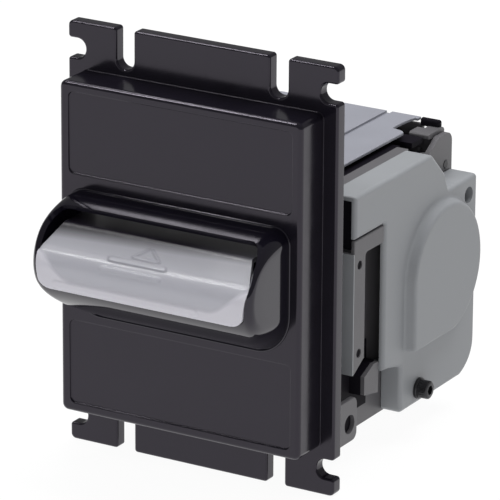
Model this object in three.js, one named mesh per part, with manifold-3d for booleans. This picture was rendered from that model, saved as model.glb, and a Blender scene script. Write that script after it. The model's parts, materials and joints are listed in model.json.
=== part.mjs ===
// Bill validator for a vending or gaming cabinet door.
//
// Units are millimetres.  The origin is the centre of the mounting flange's
// front face, which lies on the cabinet door.  +X is to the right seen from the
// customer's side, +Y goes into the machine and +Z is up.
//
// A note goes in over the tray, through the slot under the snout's crest and
// along a flat path between the lower guide and the hinged head.  The rear drum
// turns it downwards, and it leaves through the bottom at the back.

import * as THREE from 'three';
import { mergeVertices } from 'three/addons/utils/BufferGeometryUtils.js';
import Module from 'manifold-3d';

const wasm = await Module();
wasm.setup();

// ---------------------------------------------------------------- dimensions

const FIT = 0.1;            // gap between two flat faces that touch
const GAP = 0.3;            // gap round turned, cut or sliding pieces
const SIDES = [[-1, 'left'], [1, 'right']];

const flange = { width: 111.5, height: 161, thick: 5, corner: 2 };
const slot = { width: 7.2, pitch: 63.5, end: 65.5 };
const notch = { height: 7.2, z: 70.4, end: 48.5 };
const box = { width: 100, height: 126, depth: 15.2, wall: 2.5, bevel: 2, corner: 3.5 };
const recess = { halfWidth: 46.2, depth: 0.8, upper: [28.6, 59.4], lower: [-59.4, -27.2] };

const snout = {
  halfWidth: 45.5, top: 23.4, bottom: -23.8, nose: -40.4, noseZ: 2.5, wall: 2,
  topRadius: 6, bottomRadius: 14, crestZ: 20.6, lipZ: -5.6,
  windowTop: 38.4, windowBottom: 43.7, back: -12.6,
};

const path = { floor: 15.8, roof: 20.6, sheet: 2 };
const tray = { rampTop: -29.6, rampFoot: -36.4, rampFootZ: 9.4 };
const ledBoard = { y: -26.5, thick: 1.6, halfWidth: 32, z: [-14, 10.5], ledZ: 3, ledRadius: 1.8 };

const wall = { inner: 41.5, outer: 43.5, front: 5.3, rear: 113.4, bottom: -68.5, top: 23.6 };
const ledge = { inner: 36, outer: 40.7, bottom: 21, top: 26, rear: 79.5 };
const ear = { inner: 38.7, outer: 40.7, front: 92, bottom: -4, top: 24, radius: 4, root: 6.9 };

const cover = {
  inner: 41, rim: 43.8, outer: 52, wall: 2, rear: 113, top: 26.2,
  mouth: { y: 20.5, z: [9, 24.2] },
  open: { y: 42, z: [-44, 7.5] },
};
const boss = { y: 84.5, z: -19.5, radius: 27, crown: 24, height: 4, bottom: -44 };
const coverScrew = { y: 69.4, z: -61.9, head: 4, height: 5 };
const coverHole = { y: 106.2, z: 2.6, radius: 3.2, floor: 45.8 };
const screwShank = 1.5;

const pillar = {
  front: 20.5, rear: 42.2, post: 28.8, top: 9.6, barBottom: 3, bottom: -42, outer: 51.7,
  webZ: [-36, 2],
};
const pillarCorner = { outer: 50.4, rear: 26, bottom: 5 };    // the post's top corner is open
const pillarHole = { y: 24.5, z: [-0.4, -34], radius: 1.7 };
const tabCorners = [[31.8, -53], [42, -55], [42, -43], [38.6, -43], [31.8, -46]];
const tabOuter = 50.2;      // a tab on the chassis wall, ahead of the side cover
const lug = { y: [5.1, 24], z: [-66.5, -50], holeY: 18.5, holeZ: -59.5, hole: 3.6, thick: 2 };

const drum = { y: 84.5, z: 2, core: 12, tyre: 14, shaft: 3, journal: 2.4, tyreWidth: 12 };
const frontRoller = { y: 32, z: 8.5, radius: 10, shaft: 2.5, width: 10 };
const rollerX = 24;         // half the distance between a pair of rollers
const pinch = { radius: 3.2, shaft: 1 };
pinch.z = frontRoller.z + frontRoller.radius + GAP + pinch.radius;

const gearModule = 1;
const teeth = { drum: 13, idler: 30, pinion: 10 };
const gearX = [44.6, 48.8];
const gearEnd = 49.2;       // ends of the shafts that carry the gears
const stud = { radius: 2.5, head: 4, end: 49 };
const motor = { radius: 12, x: [9, 41.2], shaft: 1, angle: THREE.MathUtils.degToRad(210) };
const encoder = { radius: 8, x: [4.5, 5.5], slits: 8, slitReach: 5.6 };
const bushWall = 2.2;
const pulley = { x: [-40.6, -37.6], front: 3.5, drum: 4.9, belt: 1.2 };

const head = { halfWidth: 35.3, front: 14, rear: 83.2, tail: 96.5, top: 25.3, tailBottom: 23.2 };
const headHinge = { y: 11.5, z: 22.8, pin: 1.5, barrel: 2.6 };
const lid = {
  halfWidth: 32.5, front: 14, rear: 111, bottom: 25.9, top: 28, grooveX: 15.5,
  screw: { x: 22, y: 24 },
};
const thumbCut = { x: 26.5, front: 92.5, rear: 108.2, tail: 28.8 };

const latch = {
  y: 108.6, z: 12, pin: 1.6, barrel: 3.2, x: [33, 38.3],
  padX: 29.6, padTop: 25.2, padFront: 97, crownX: 30.8, top: 29,
};
const latchSpring = { x: [29.4, 32.8], radius: 2.5, wire: 0.35, turns: 4 };
const gate = { y: 61, z: 9.3, shaft: 1.5, tip: 19.6, fingerX: 16, finger: 2.4, halfLength: 24 };
const noteSensor = { halfWidth: 3, y: [46, 52] };

const rearGuide = { inner: path.roof - drum.z, thick: 2, bottom: -66 };
const innerGuide = { y: [96.2, 98], z: [-66, -9.5] };
const base = { y: [30, 95.8], z: [-68.5, -66.5], post: -62.1 };
const rearCover = {
  y: [109.6, 111.4], z: [-62, 6], halfWidth: 38.3, top: 25.6, shoulder: 22.5,
  pocket: [111.9, 112.8],
};
const socket = { y: [106, 111.8], halfWidth: 16, z: [-19.4, -8.6], wall: 1.4 };
const board = { y: [34, 92], halfWidth: 36.5, thick: 1.6 };

// ----------------------------------------------------------------- materials

const finish = (colour, roughness, metalness = 0) =>
  new THREE.MeshStandardMaterial({ color: colour, roughness, metalness });

const look = {
  blackPlastic: finish(0x232227, 0.42),
  glossBlack: finish(0x17161b, 0.12),
  clearGrey: finish(0xb9bac4, 0.25),
  coolGrey: finish(0x9a9ca1, 0.5),
  lightGrey: finish(0xb9bbc3, 0.5),
  darkGrey: finish(0x565659, 0.55),
  blackScrew: finish(0x1c1c1e, 0.4, 0.6),
  steel: finish(0xa8aaad, 0.3, 1),
  zinc: finish(0xb4b8bb, 0.35, 1),
  rubber: finish(0x2a2a2b, 0.9),
  white: finish(0xd9d8d0, 0.45),
  brass: finish(0xb08d4f, 0.35, 1),
  board: finish(0x1f5a38, 0.5),
  connector: finish(0xd8d4c6, 0.5),
};

// ------------------------------------------------------------ solid modelling

/** Turns a closed geometry into a solid that can be cut and joined. */
function solid(geometry) {
  const source = geometry.clone();
  source.deleteAttribute('normal');
  source.deleteAttribute('uv');
  const merged = mergeVertices(source, 1e-4);
  return new wasm.Manifold(new wasm.Mesh({
    numProp: 3,
    vertProperties: new Float32Array(merged.attributes.position.array),
    triVerts: new Uint32Array(merged.index.array),
  }));
}

/** Turns a solid back into a geometry. */
function geometryOf(manifold) {
  const mesh = manifold.getMesh();
  const geometry = new THREE.BufferGeometry();
  geometry.setAttribute('position', new THREE.BufferAttribute(mesh.vertProperties, 3));
  geometry.setIndex(new THREE.BufferAttribute(mesh.triVerts, 1));
  geometry.computeVertexNormals();
  return geometry;
}

function join(...pieces) {
  return geometryOf(pieces.map(solid).reduce((all, piece) => all.add(piece)));
}

function cut(body, ...tools) {
  return geometryOf(tools.map(solid).reduce((left, tool) => left.subtract(tool), solid(body)));
}

function overlap(...pieces) {
  return geometryOf(pieces.map(solid).reduce((all, piece) => all.intersect(piece)));
}

/** Low and high of a span that is given for the right side, on either side. */
const span = (side, a, b) => [Math.min(side * a, side * b), Math.max(side * a, side * b)];

function block([x0, x1], [y0, y1], [z0, z1]) {
  const geometry = new THREE.BoxGeometry(x1 - x0, y1 - y0, z1 - z0);
  return geometry.translate((x0 + x1) / 2, (y0 + y1) / 2, (z0 + z1) / 2);
}

/** Extrudes an outline drawn in (y, z) along X. */
function alongX(shape, [x0, x1], curveSegments = 8) {
  const settings = { depth: x1 - x0, bevelEnabled: false, curveSegments };
  const geometry = new THREE.ExtrudeGeometry(shape, settings);
  const turn = new THREE.Matrix4().makeBasis(
    new THREE.Vector3(0, 1, 0), new THREE.Vector3(0, 0, 1), new THREE.Vector3(1, 0, 0));
  return geometry.applyMatrix4(turn).translate(x0, 0, 0);
}

/** Extrudes an outline drawn in (x, z) along Y. */
function alongY(shape, [y0, y1], curveSegments = 8, bevel = 0) {
  const geometry = new THREE.ExtrudeGeometry(shape, {
    depth: y1 - y0 - 2 * bevel,
    bevelEnabled: bevel > 0,
    bevelThickness: bevel,
    bevelSize: bevel,
    bevelOffset: -bevel,
    bevelSegments: 2,
    curveSegments,
  });
  return geometry.rotateX(Math.PI / 2).translate(0, y1 - bevel, 0);
}

/** Extrudes an outline drawn in (x, y) along Z. */
function alongZ(shape, [z0, z1], curveSegments = 8) {
  const settings = { depth: z1 - z0, bevelEnabled: false, curveSegments };
  return new THREE.ExtrudeGeometry(shape, settings).translate(0, 0, z0);
}

function cylinderX(radius, [x0, x1], y, z, segments = 20) {
  const geometry = new THREE.CylinderGeometry(radius, radius, x1 - x0, segments);
  return geometry.rotateZ(Math.PI / 2).translate((x0 + x1) / 2, y, z);
}

function cylinderZ(radius, x, y, [z0, z1], segments = 16) {
  const geometry = new THREE.CylinderGeometry(radius, radius, z1 - z0, segments);
  return geometry.rotateX(Math.PI / 2).translate(x, y, (z0 + z1) / 2);
}

function cylinderY(radius, x, [y0, y1], z, segments = 16) {
  const geometry = new THREE.CylinderGeometry(radius, radius, y1 - y0, segments);
  return geometry.translate(x, (y0 + y1) / 2, z);
}

/** Turns a profile of [x, radius] points about the X axis. */
function turned(profile, segments = 24) {
  const points = profile.map(([x, radius]) => new THREE.Vector2(radius, x));
  return new THREE.LatheGeometry(points, segments).rotateZ(-Math.PI / 2);
}

function outline(points) {
  return new THREE.Shape(points.map(([u, v]) => new THREE.Vector2(u, v)));
}

/** Rectangle with its own radius at the two lower and the two upper corners. */
function roundedRectangle([u0, u1], [v0, v1], lower, upper = lower) {
  const shape = new THREE.Shape();
  shape.moveTo(u0 + lower, v0);
  shape.lineTo(u1 - lower, v0);
  shape.absarc(u1 - lower, v0 + lower, lower, -Math.PI / 2, 0);
  shape.lineTo(u1, v1 - upper);
  shape.absarc(u1 - upper, v1 - upper, upper, 0, Math.PI / 2);
  shape.lineTo(u0 + upper, v1);
  shape.absarc(u0 + upper, v1 - upper, upper, Math.PI / 2, Math.PI);
  shape.lineTo(u0, v0 + lower);
  shape.absarc(u0 + lower, v0 + lower, lower, Math.PI, Math.PI * 1.5);
  return shape;
}

/** Slot with a round end at `from` that runs on past `to`. */
function slotShape(from, to, width) {
  const direction = new THREE.Vector2().subVectors(to, from).normalize();
  const start = Math.atan2(direction.y, direction.x) + Math.PI / 2;
  const side = new THREE.Vector2(-direction.y, direction.x).multiplyScalar(width / 2);
  const shape = new THREE.Shape();
  shape.moveTo(to.x + side.x, to.y + side.y);
  shape.lineTo(from.x + side.x, from.y + side.y);
  shape.absarc(from.x, from.y, width / 2, start, start + Math.PI);
  shape.lineTo(to.x - side.x, to.y - side.y);
  return shape;
}

/** Outline that a belt takes round two circles, at `offset` outside them. */
function beltLoop(a, b, offset, Kind = THREE.Shape) {
  const reach = Math.hypot(b.y - a.y, b.z - a.z);
  const heading = Math.atan2(b.z - a.z, b.y - a.y);
  const lean = Math.acos((a.radius - b.radius) / reach);
  const shape = new Kind();
  shape.absarc(b.y, b.z, b.radius + offset, heading - lean, heading + lean);
  shape.absarc(a.y, a.z, a.radius + offset, heading + lean, heading - lean + 2 * Math.PI);
  return shape;
}

/** Spur gear about the X axis, with a tooth centred on the angle `phase`. */
function spurGear(count, [x0, x1], bore, phase) {
  const pitchRadius = gearModule * count / 2;
  const tip = pitchRadius + 0.8 * gearModule;
  const root = pitchRadius - 1.15 * gearModule;
  const step = 2 * Math.PI / count;
  const points = [];
  for (let i = 0; i < count; i++) {
    const centre = phase + i * step;
    for (const [radius, share] of [[root, -0.31], [tip, -0.13], [tip, 0.13], [root, 0.31]]) {
      const angle = centre + share * step;
      points.push([radius * Math.cos(angle), radius * Math.sin(angle)]);
    }
  }
  const shape = outline(points);
  const hole = new THREE.Path();
  hole.absarc(0, 0, bore, 0, 2 * Math.PI, true);
  shape.holes.push(hole);
  return alongX(shape, [x0, x1], 10);
}

/** Wheel or ring about the X axis, from x0 to x1, with its outer edges broken by `chamfer`. */
function ring([x0, x1], bore, radius, chamfer = 0, segments = 20) {
  const edge = chamfer > 0
    ? [[x0, radius - chamfer], [x0 + chamfer, radius], [x1 - chamfer, radius], [x1, radius - chamfer]]
    : [[x0, radius], [x1, radius]];
  return turned([[x0, bore], ...edge, [x1, bore], [x0, bore]], segments);
}

/** Wire coil about the X axis, from x0 to x1. */
function coilX([x0, x1], radius, wire, turns) {
  const points = [];
  const steps = turns * 8;
  for (let i = 0; i <= steps; i++) {
    const angle = 2 * Math.PI * i / 8;
    const x = THREE.MathUtils.lerp(x0 + wire, x1 - wire, i / steps);
    points.push(new THREE.Vector3(x, radius * Math.cos(angle), radius * Math.sin(angle)));
  }
  const section = new THREE.Shape();
  section.absarc(0, 0, wire, 0, 2 * Math.PI);
  return new THREE.ExtrudeGeometry(section, {
    steps, curveSegments: 5, extrudePath: new THREE.CatmullRomCurve3(points),
  });
}

/** Hexagon socket screw head with a short shank, pointing along +X from x = 0. */
function screwX(headRadius, headHeight, shankRadius, shankLength) {
  return cut(
    turned([[-shankLength, 0], [-shankLength, shankRadius], [0, shankRadius], [0, headRadius],
      [headHeight - 0.5, headRadius], [headHeight, headRadius - 0.5], [headHeight, 0]], 12),
    cylinderX(headRadius * 0.5, [headHeight * 0.45, headHeight + 1], 0, 0, 6));
}

// -------------------------------------------------------------- scene graph

const validator = new THREE.Group();
validator.name = 'bill_validator';

function add(name, geometry, material, position = [0, 0, 0]) {
  const mesh = new THREE.Mesh(geometry, material);
  mesh.name = name;
  mesh.position.set(...position);
  validator.add(mesh);
  return mesh;
}

// ------------------------------------------------------------------ the front

/** Side view of the snout, moved inwards by `inset`. */
function snoutProfile(inset, back) {
  const top = snout.top - inset;
  const bottom = snout.bottom + inset;
  const nose = snout.nose + inset;
  const shape = new THREE.Shape();
  shape.moveTo(back, bottom);
  shape.lineTo(back, top);
  shape.lineTo(-19, top);
  shape.bezierCurveTo(-29 + 0.2 * inset, top, nose, 15 - 0.3 * inset, nose, snout.noseZ);
  shape.bezierCurveTo(nose, -8 + 0.3 * inset, -31 + 0.3 * inset, bottom + 7.8, -21, bottom + 3.2);
  shape.lineTo(-15.2, bottom);
  return shape;
}

function snoutBody(inset, back) {
  const half = snout.halfWidth - inset;
  const front = roundedRectangle([-half, half], [snout.bottom + inset, snout.top - inset],
    snout.bottomRadius - inset, snout.topRadius - inset);
  return overlap(
    alongX(snoutProfile(inset, back), [-half, half], 7),
    alongY(front, [snout.nose - 1, back], 4));
}

/** Front window of the snout, narrower at the crest than at the lip. */
function windowShape(inset) {
  const top = snout.windowTop - inset;
  const bottom = snout.windowBottom - inset;
  return outline([
    [-bottom, snout.lipZ + inset], [bottom, snout.lipZ + inset],
    [top, snout.crestZ - inset], [-top, snout.crestZ - inset]]);
}

function makeBezel() {
  const across = (width) => [-width / 2, width / 2];
  const plate = alongY(
    roundedRectangle(across(flange.width), across(flange.height), flange.corner),
    [0, flange.thick], 3);
  const frontBox = alongY(
    roundedRectangle(across(box.width), across(box.height), box.corner),
    [-box.depth, 4], 3, box.bevel);
  const inside = block(
    across(box.width - 2 * box.wall),
    [-box.depth + box.wall, flange.thick + 1],
    across(box.height - 2 * box.wall));
  const mouthShape = roundedRectangle(
    across(2 * (snout.halfWidth + GAP)), [snout.bottom - GAP, snout.top + GAP],
    snout.bottomRadius, snout.topRadius);
  const mouth = alongY(mouthShape, [-box.depth - 1, -box.depth + box.wall + 1], 5);
  const tools = [inside, mouth];
  for (const [low, high] of [recess.upper, recess.lower]) {
    const panel = roundedRectangle([-recess.halfWidth, recess.halfWidth], [low, high], 2);
    tools.push(alongY(panel, [-box.depth - 1, -box.depth + recess.depth], 3));
  }
  const through = [-1, flange.thick + 1];
  for (const end of [-1, 1]) {
    for (const side of [-1, 1]) {
      const upright = slotShape(
        new THREE.Vector2(side * slot.pitch / 2, end * (slot.end + slot.width / 2)),
        new THREE.Vector2(side * slot.pitch / 2, end * (flange.height / 2 + 1)), slot.width);
      const sideways = slotShape(
        new THREE.Vector2(side * (notch.end + notch.height / 2), end * notch.z),
        new THREE.Vector2(side * (flange.width / 2 + 1), end * notch.z), notch.height);
      tools.push(alongY(upright, through, 4), alongY(sideways, through, 4));
    }
  }
  add('front_bezel', cut(join(plate, frontBox), ...tools), look.blackPlastic);
}

function makeSnout() {
  const rim = block([-47.1, 47.1], [snout.back, snout.back + 1.5], [-27, 27]);   // bears on the bezel
  const shell = cut(
    join(snoutBody(0, snout.back), rim),
    snoutBody(snout.wall, snout.back + 2),
    alongY(windowShape(0), [snout.nose - 1, -22]));
  add('note_snout', shell, look.glossBlack);
}

function makeTray() {
  const { floor, sheet } = path;
  const nose = snout.nose + 0.3;
  const profile = new THREE.Shape();
  profile.moveTo(-1, floor);
  profile.lineTo(tray.rampTop, floor);
  profile.lineTo(tray.rampFoot, tray.rampFootZ);
  profile.bezierCurveTo(-38.6, 7.2, nose, 5, nose, 1.5);
  profile.lineTo(nose + 0.5, snout.lipZ);
  profile.lineTo(nose + 0.5 + sheet, snout.lipZ);
  profile.lineTo(nose + sheet, 1.5);
  profile.bezierCurveTo(nose + sheet, 4, -37, 6, tray.rampFoot + 1.2, tray.rampFootZ - 1.5);
  profile.lineTo(tray.rampTop + 0.6, floor - sheet);
  profile.lineTo(-1, floor - sheet);
  const width = snout.halfWidth - snout.wall - GAP;
  const sides = windowShape(GAP);
  add('note_tray', overlap(alongX(profile, [-width, width], 6), alongY(sides, [-45, 0])), look.clearGrey);
}

function makeLedBoard() {
  const { y, thick, halfWidth } = ledBoard;
  const depth = [y, y + thick];
  const pieces = [
    block([-halfWidth, halfWidth], depth, ledBoard.z),
    block([-halfWidth - 2.5, -halfWidth + 0.5], depth, [-10, 6]),
    block([halfWidth - 0.5, halfWidth + 2.5], depth, [-10, 6]),
  ];
  for (const x of [-24, -12, 0, 12, 24]) {
    pieces.push(cylinderY(ledBoard.ledRadius, x, [y - 3.2, y + 0.5], ledBoard.ledZ, 8));
  }
  add('led_board', join(...pieces), look.board);
}

// ---------------------------------------------------------------- the chassis

function makeChassisSide(side, name) {
  const wallOutline = new THREE.Shape();
  wallOutline.moveTo(wall.front, -58);
  wallOutline.lineTo(30, wall.bottom);
  wallOutline.lineTo(100, wall.bottom);
  wallOutline.lineTo(wall.rear, -58);
  wallOutline.lineTo(wall.rear, ear.root);
  wallOutline.lineTo(87, ear.root);
  wallOutline.lineTo(74, wall.top);
  wallOutline.lineTo(wall.front, wall.top);

  const earOutline = new THREE.Shape();
  earOutline.moveTo(ear.front, ear.bottom);
  earOutline.lineTo(wall.rear, ear.bottom);
  earOutline.lineTo(wall.rear, ear.top - ear.radius);
  earOutline.absarc(wall.rear - ear.radius, ear.top - ear.radius, ear.radius, 0, Math.PI / 2);
  earOutline.lineTo(103, ear.top);
  earOutline.lineTo(ear.front, 17);

  const x = (a, b) => span(side, a, b);
  const plate = join(
    alongX(wallOutline, x(wall.inner, wall.outer)),
    block(x(ledge.inner, wall.outer), [8, ledge.rear - 6], [ledge.bottom, wall.top]),
    block(x(ledge.inner, ledge.outer), [8, ledge.rear], [ledge.bottom, ledge.top]),
    alongX(earOutline, x(ear.inner, ear.outer), 5),
    block(x(ear.inner, wall.outer), [ear.front, wall.rear], [ear.bottom, ear.root]),
    alongX(outline(tabCorners), x(wall.outer - 0.5, tabOuter)));
  const through = x(ledge.inner - 2, wall.outer + 2);
  const holes = [
    cylinderX(drum.shaft + bushWall, through, drum.y, drum.z, 20),
    cylinderX(frontRoller.shaft + bushWall, through, frontRoller.y, frontRoller.z, 20),
    cylinderX(headHinge.pin + GAP / 2, through, headHinge.y, headHinge.z, 16),
    cylinderX(latch.pin + GAP / 2, x(ear.inner - 1, ear.outer + 1), latch.y, latch.z, 16),
    cylinderX(gate.shaft + GAP, x(wall.inner - 1, wall.outer + 1), gate.y, gate.z, 16),
  ];
  if (side > 0) {
    holes.push(
      cylinderX(stud.radius + FIT, x(wall.inner - 1, wall.outer + 1), boss.y, boss.z, 16),
      cylinderX(4, x(wall.inner - 1, wall.outer + 1), motorAxis.y, motorAxis.z, 20));
  }
  for (const { y, z } of [coverScrew, coverHole]) {
    holes.push(cylinderX(1.8, x(wall.inner - 1, wall.outer + 1), y, z, 12));
  }
  add(name, cut(plate, ...holes), look.darkGrey);
}

/** Post and bar that stand off the chassis wall behind the flange. */
function makeMountingPost(side, name) {
  const shape = outline([
    [pillar.front, pillar.bottom], [pillar.post, pillar.bottom + 5], [pillar.post, pillar.barBottom],
    [pillar.rear, pillar.barBottom], [pillar.rear, pillar.top], [pillar.front, pillar.top]]);
  const x = span(side, wall.outer + FIT, pillar.outer);
  const through = [x[0] - 1, x[1] + 1];
  const holes = pillarHole.z.map((z) => cylinderX(pillarHole.radius, through, pillarHole.y, z, 12));
  const front = flange.thick + FIT;
  const webX = span(side, wall.outer + FIT, wall.outer + 2);
  const web = block(webX, [front, pillar.front + 1], pillar.webZ);
  const foot = block(x, [front, front + 2.2], pillar.webZ);
  const corner = block(
    span(side, wall.outer - 1, pillarCorner.outer),
    [pillar.front - 1, pillarCorner.rear],
    [pillarCorner.bottom, pillar.top + 1]);
  add(name, cut(join(alongX(shape, x), web, foot), corner, ...holes), look.darkGrey);
}

function makeFlangeLug(side, name) {
  const shape = roundedRectangle(lug.y, lug.z, 0.8, 3);
  const outer = pillar.outer;
  const plate = alongX(shape, span(side, outer - lug.thick, outer), 4);
  const foot = block(
    span(side, wall.outer + 0.6, outer),
    [lug.y[0], lug.y[0] + lug.thick],
    [lug.z[0] + 1, lug.z[1] - 3]);
  const hole = cylinderX(lug.hole, span(side, outer - 4, outer + 1), lug.holeY, lug.holeZ, 20);
  add(name, cut(join(plate, foot), hole), look.darkGrey);
}

function makeLowerGuide() {
  const z = [path.floor - path.sheet, path.floor];
  const half = wall.inner - GAP;
  const windows = [];
  for (const side of [-1, 1]) {
    const roller = frontRoller.width / 2 + 0.8;
    const reach = frontRoller.radius + 0.6;
    const through = [z[0] - 3, z[1] + 1];
    windows.push(
      block([side * rollerX - roller, side * rollerX + roller],
        [frontRoller.y - reach, frontRoller.y + reach], through),
      block([side * gate.fingerX - 1.8, side * gate.fingerX + 1.8],
        [gate.y - 2.2, gate.y + 11], through));
  }
  const sensorSide = noteSensor.halfWidth;
  const sensor = block([-sensorSide, sensorSide], noteSensor.y, [z[0] - 3, z[1] + 1]);
  const ribs = [-30, -7, 7, 30].map((x) => block([x - 0.8, x + 0.8], [8, 20], [z[0] - 4, z[0] + 0.5]));
  const deck = join(block([-half, half], [flange.thick + 0.8, 76.4], z), ...ribs);
  add('lower_guide', cut(deck, ...windows, sensor), look.blackPlastic);
  const lens = block(
    [-sensorSide + FIT, sensorSide - FIT],
    [noteSensor.y[0] + FIT, noteSensor.y[1] - FIT],
    [z[0] - 1.5, z[1] - 0.2]);
  add('note_sensor_lens', lens, look.glossBlack);
}

function makeRearGuides() {
  const half = wall.inner - GAP;
  const { inner, thick, bottom } = rearGuide;
  const curve = new THREE.Shape();
  curve.absarc(drum.y, drum.z, inner + thick, 0, Math.PI / 2);
  curve.absarc(drum.y, drum.z, inner, Math.PI / 2, 0, true);
  curve.lineTo(drum.y + inner, bottom);
  curve.lineTo(drum.y + inner + thick, bottom);
  const sideNotch = (side) =>
    block(span(side, ear.inner - GAP, half + 1), [ear.front - GAP, 110], [ear.bottom - GAP, 25]);
  const guide = cut(alongX(curve, [-half, half], 10), sideNotch(-1), sideNotch(1));
  add('rear_guide', guide, look.blackPlastic);
  const between = [-ear.inner + GAP, ear.inner - GAP];
  add('inner_guide', block(between, innerGuide.y, innerGuide.z), look.blackPlastic);
}

function makeRearCover() {
  const { wall: shell } = socket;
  const socketHole = block(
    [-socket.halfWidth - 1, socket.halfWidth + 1],
    [rearCover.y[0] - 1, rearCover.y[1] + 1],
    [socket.z[0] - 0.6, socket.z[1] + 0.6]);
  const { y, z, halfWidth, top, shoulder, pocket } = rearCover;
  const besideLever = latchSpring.x[0] - 1;
  const lever = latch.x[0] - 2 * GAP;
  const springZ = [z[1] - 1, latch.z + 5.2];
  const panel = join(
    block([-halfWidth, halfWidth], y, z),
    block([-halfWidth, besideLever], y, [z[1] - 1, top]),
    block([besideLever - 1, latch.crownX - 2 * GAP], y, [latch.z + 4.2, top]),
    block([besideLever - 1, lever], y, [latch.z + 4.2, shoulder]),
    block([besideLever - 1.2, besideLever], [y[0], pocket[1]], springZ),
    block([besideLever - 1.2, lever], pocket, springZ));
  add('rear_cover', cut(panel, socketHole), look.darkGrey);
  const housing = block([-socket.halfWidth, socket.halfWidth], socket.y, socket.z);
  const mouth = block(
    [-socket.halfWidth + shell, socket.halfWidth - shell],
    [socket.y[0] + 1.5, socket.y[1] + 1],
    [socket.z[0] + shell, socket.z[1] - shell]);
  add('harness_socket', cut(housing, mouth), look.connector);
}

function makeBase() {
  const half = wall.inner - GAP;
  const posts = [];
  for (const x of [-33, 33]) {
    for (const y of [38, 88]) {
      posts.push(cylinderZ(3, x, y, [base.z[0] + 1, base.post], 12));
    }
  }
  add('base_plate', join(block([-half, half], base.y, base.z), ...posts), look.darkGrey);
  const z = base.post + FIT;
  const parts = [
    block([-20, -6], [50, 64], [z + 1, z + 4]),
    block([4, 14], [48, 68], [z + 1, z + 3.5]),
    block([-28, -18], [74, 86], [z + 1, z + 9]),
    block([10, 26], [76, 84], [z + 1, z + 6]),
    cylinderZ(4, 26, 60, [z + 1, z + 12], 12),
    cylinderZ(4, -28, 60, [z + 1, z + 12], 12),
  ];
  const sheet = block([-board.halfWidth, board.halfWidth], board.y, [z, z + board.thick]);
  add('main_board', join(sheet, ...parts), look.board);
}

// ----------------------------------------------------------- the side covers

function coverOutline(inset) {
  const rear = cover.rear - inset;
  const top = cover.top - inset;
  const shape = new THREE.Shape();
  shape.moveTo(20.5 + inset, top);
  shape.lineTo(20.5 + inset, 9.9 + inset);
  shape.lineTo(42.5 + inset, 9.9 + inset);
  shape.lineTo(42.5 + inset, -46.4 + inset);
  shape.quadraticCurveTo(50, -47.5 + inset, 56 + inset, -49.5 + inset);
  shape.lineTo(56 + inset, -67.8 + inset);
  shape.lineTo(102.5 - 0.4 * inset, -67.8 + inset);
  shape.bezierCurveTo(108 - inset, -66 + inset, rear, -62 + inset, rear, -55);
  shape.lineTo(rear, 9.4 - inset);
  shape.lineTo(90.8 - 0.6 * inset, 9.4 - inset);
  shape.lineTo(87.4 - 0.8 * inset, 16.8 - 0.6 * inset);
  shape.lineTo(77.8 - 0.4 * inset, top);
  return shape;
}

/** Raised boss over the idler gear: round, with one square lower corner. */
function bossOutline(radius, bottom) {
  const shape = new THREE.Shape();
  shape.moveTo(boss.y - radius, bottom);
  shape.lineTo(boss.y - 8, bottom);
  shape.absarc(boss.y, boss.z, radius, -1.87, Math.PI);
  return shape;
}

function makeSideCover(side, name, withBoss) {
  const x = (a, b) => span(side, a, b);
  let outer = alongX(coverOutline(0), x(cover.inner, cover.outer), 5);
  const hollow = [alongX(coverOutline(cover.wall), x(cover.inner - 1, cover.outer - cover.wall), 5)];
  if (withBoss) {
    const steps = 3;
    for (let i = 0; i < steps; i++) {
      const share = (i + 1) / steps;
      const radius = THREE.MathUtils.lerp(boss.radius, boss.crown, share * share);
      const height = boss.height * share;
      const shape = bossOutline(radius, boss.bottom + boss.radius - radius);
      outer = join(outer, alongX(shape, x(cover.outer - 1, cover.outer + height), 12));
    }
    const roof = cover.outer + boss.height - cover.wall;
    hollow.push(cylinderX(boss.crown - cover.wall, x(cover.outer - 3, roof), boss.y, boss.z, 24));
  }
  const seatX = x(cover.rim, cover.outer - 1);
  const lowSeat = cylinderX(3.4, seatX, coverScrew.y, coverScrew.z, 12);
  const highSeat = cylinderX(coverHole.radius + 1.4, seatX, coverHole.y, coverHole.z, 16);
  const shell = join(cut(outer, ...hollow), lowSeat, highSeat);
  const shellX = x(cover.inner - 1, cover.rim);
  const throughX = x(cover.inner, cover.outer + 1);
  const openX = x(cover.rim - 1, cover.outer - cover.wall);
  const trimmed = cut(shell,
    block(shellX, [0, 120], [-80, ear.root + GAP]),
    block(shellX, [0, 76.2], [ear.root, wall.top + 0.5]),
    block(openX, [cover.open.y, cover.open.y + 2 * cover.wall], cover.open.z),
    block(openX, [cover.mouth.y - 1, cover.mouth.y + 1.4 * cover.wall], cover.mouth.z),
    cylinderX(coverHole.radius, x(coverHole.floor, cover.outer + 1), coverHole.y, coverHole.z, 16),
    cylinderX(1.8, throughX, coverHole.y, coverHole.z, 10),
    cylinderX(2, throughX, coverScrew.y, coverScrew.z, 10));
  add(name, trimmed, look.coolGrey);

  const screws = [
    ['low', screwX(coverScrew.head, coverScrew.height, screwShank, 9), cover.outer, coverScrew],
    ['high', screwX(2.8, 1.8, screwShank, 3.5), coverHole.floor, coverHole],
  ];
  for (const [word, geometry, seat, { y, z }] of screws) {
    const screw = add(`${name}_screw_${word}`, geometry, look.blackScrew, [side * (seat + FIT), y, z]);
    screw.rotation.z = side > 0 ? 0 : Math.PI;
  }
}

// ------------------------------------------------------------------ the drive

const motorReach = gearModule * (teeth.idler + teeth.pinion) / 2;
const motorAxis = {
  y: boss.y + motorReach * Math.cos(motor.angle),
  z: boss.z + motorReach * Math.sin(motor.angle),
};

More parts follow.
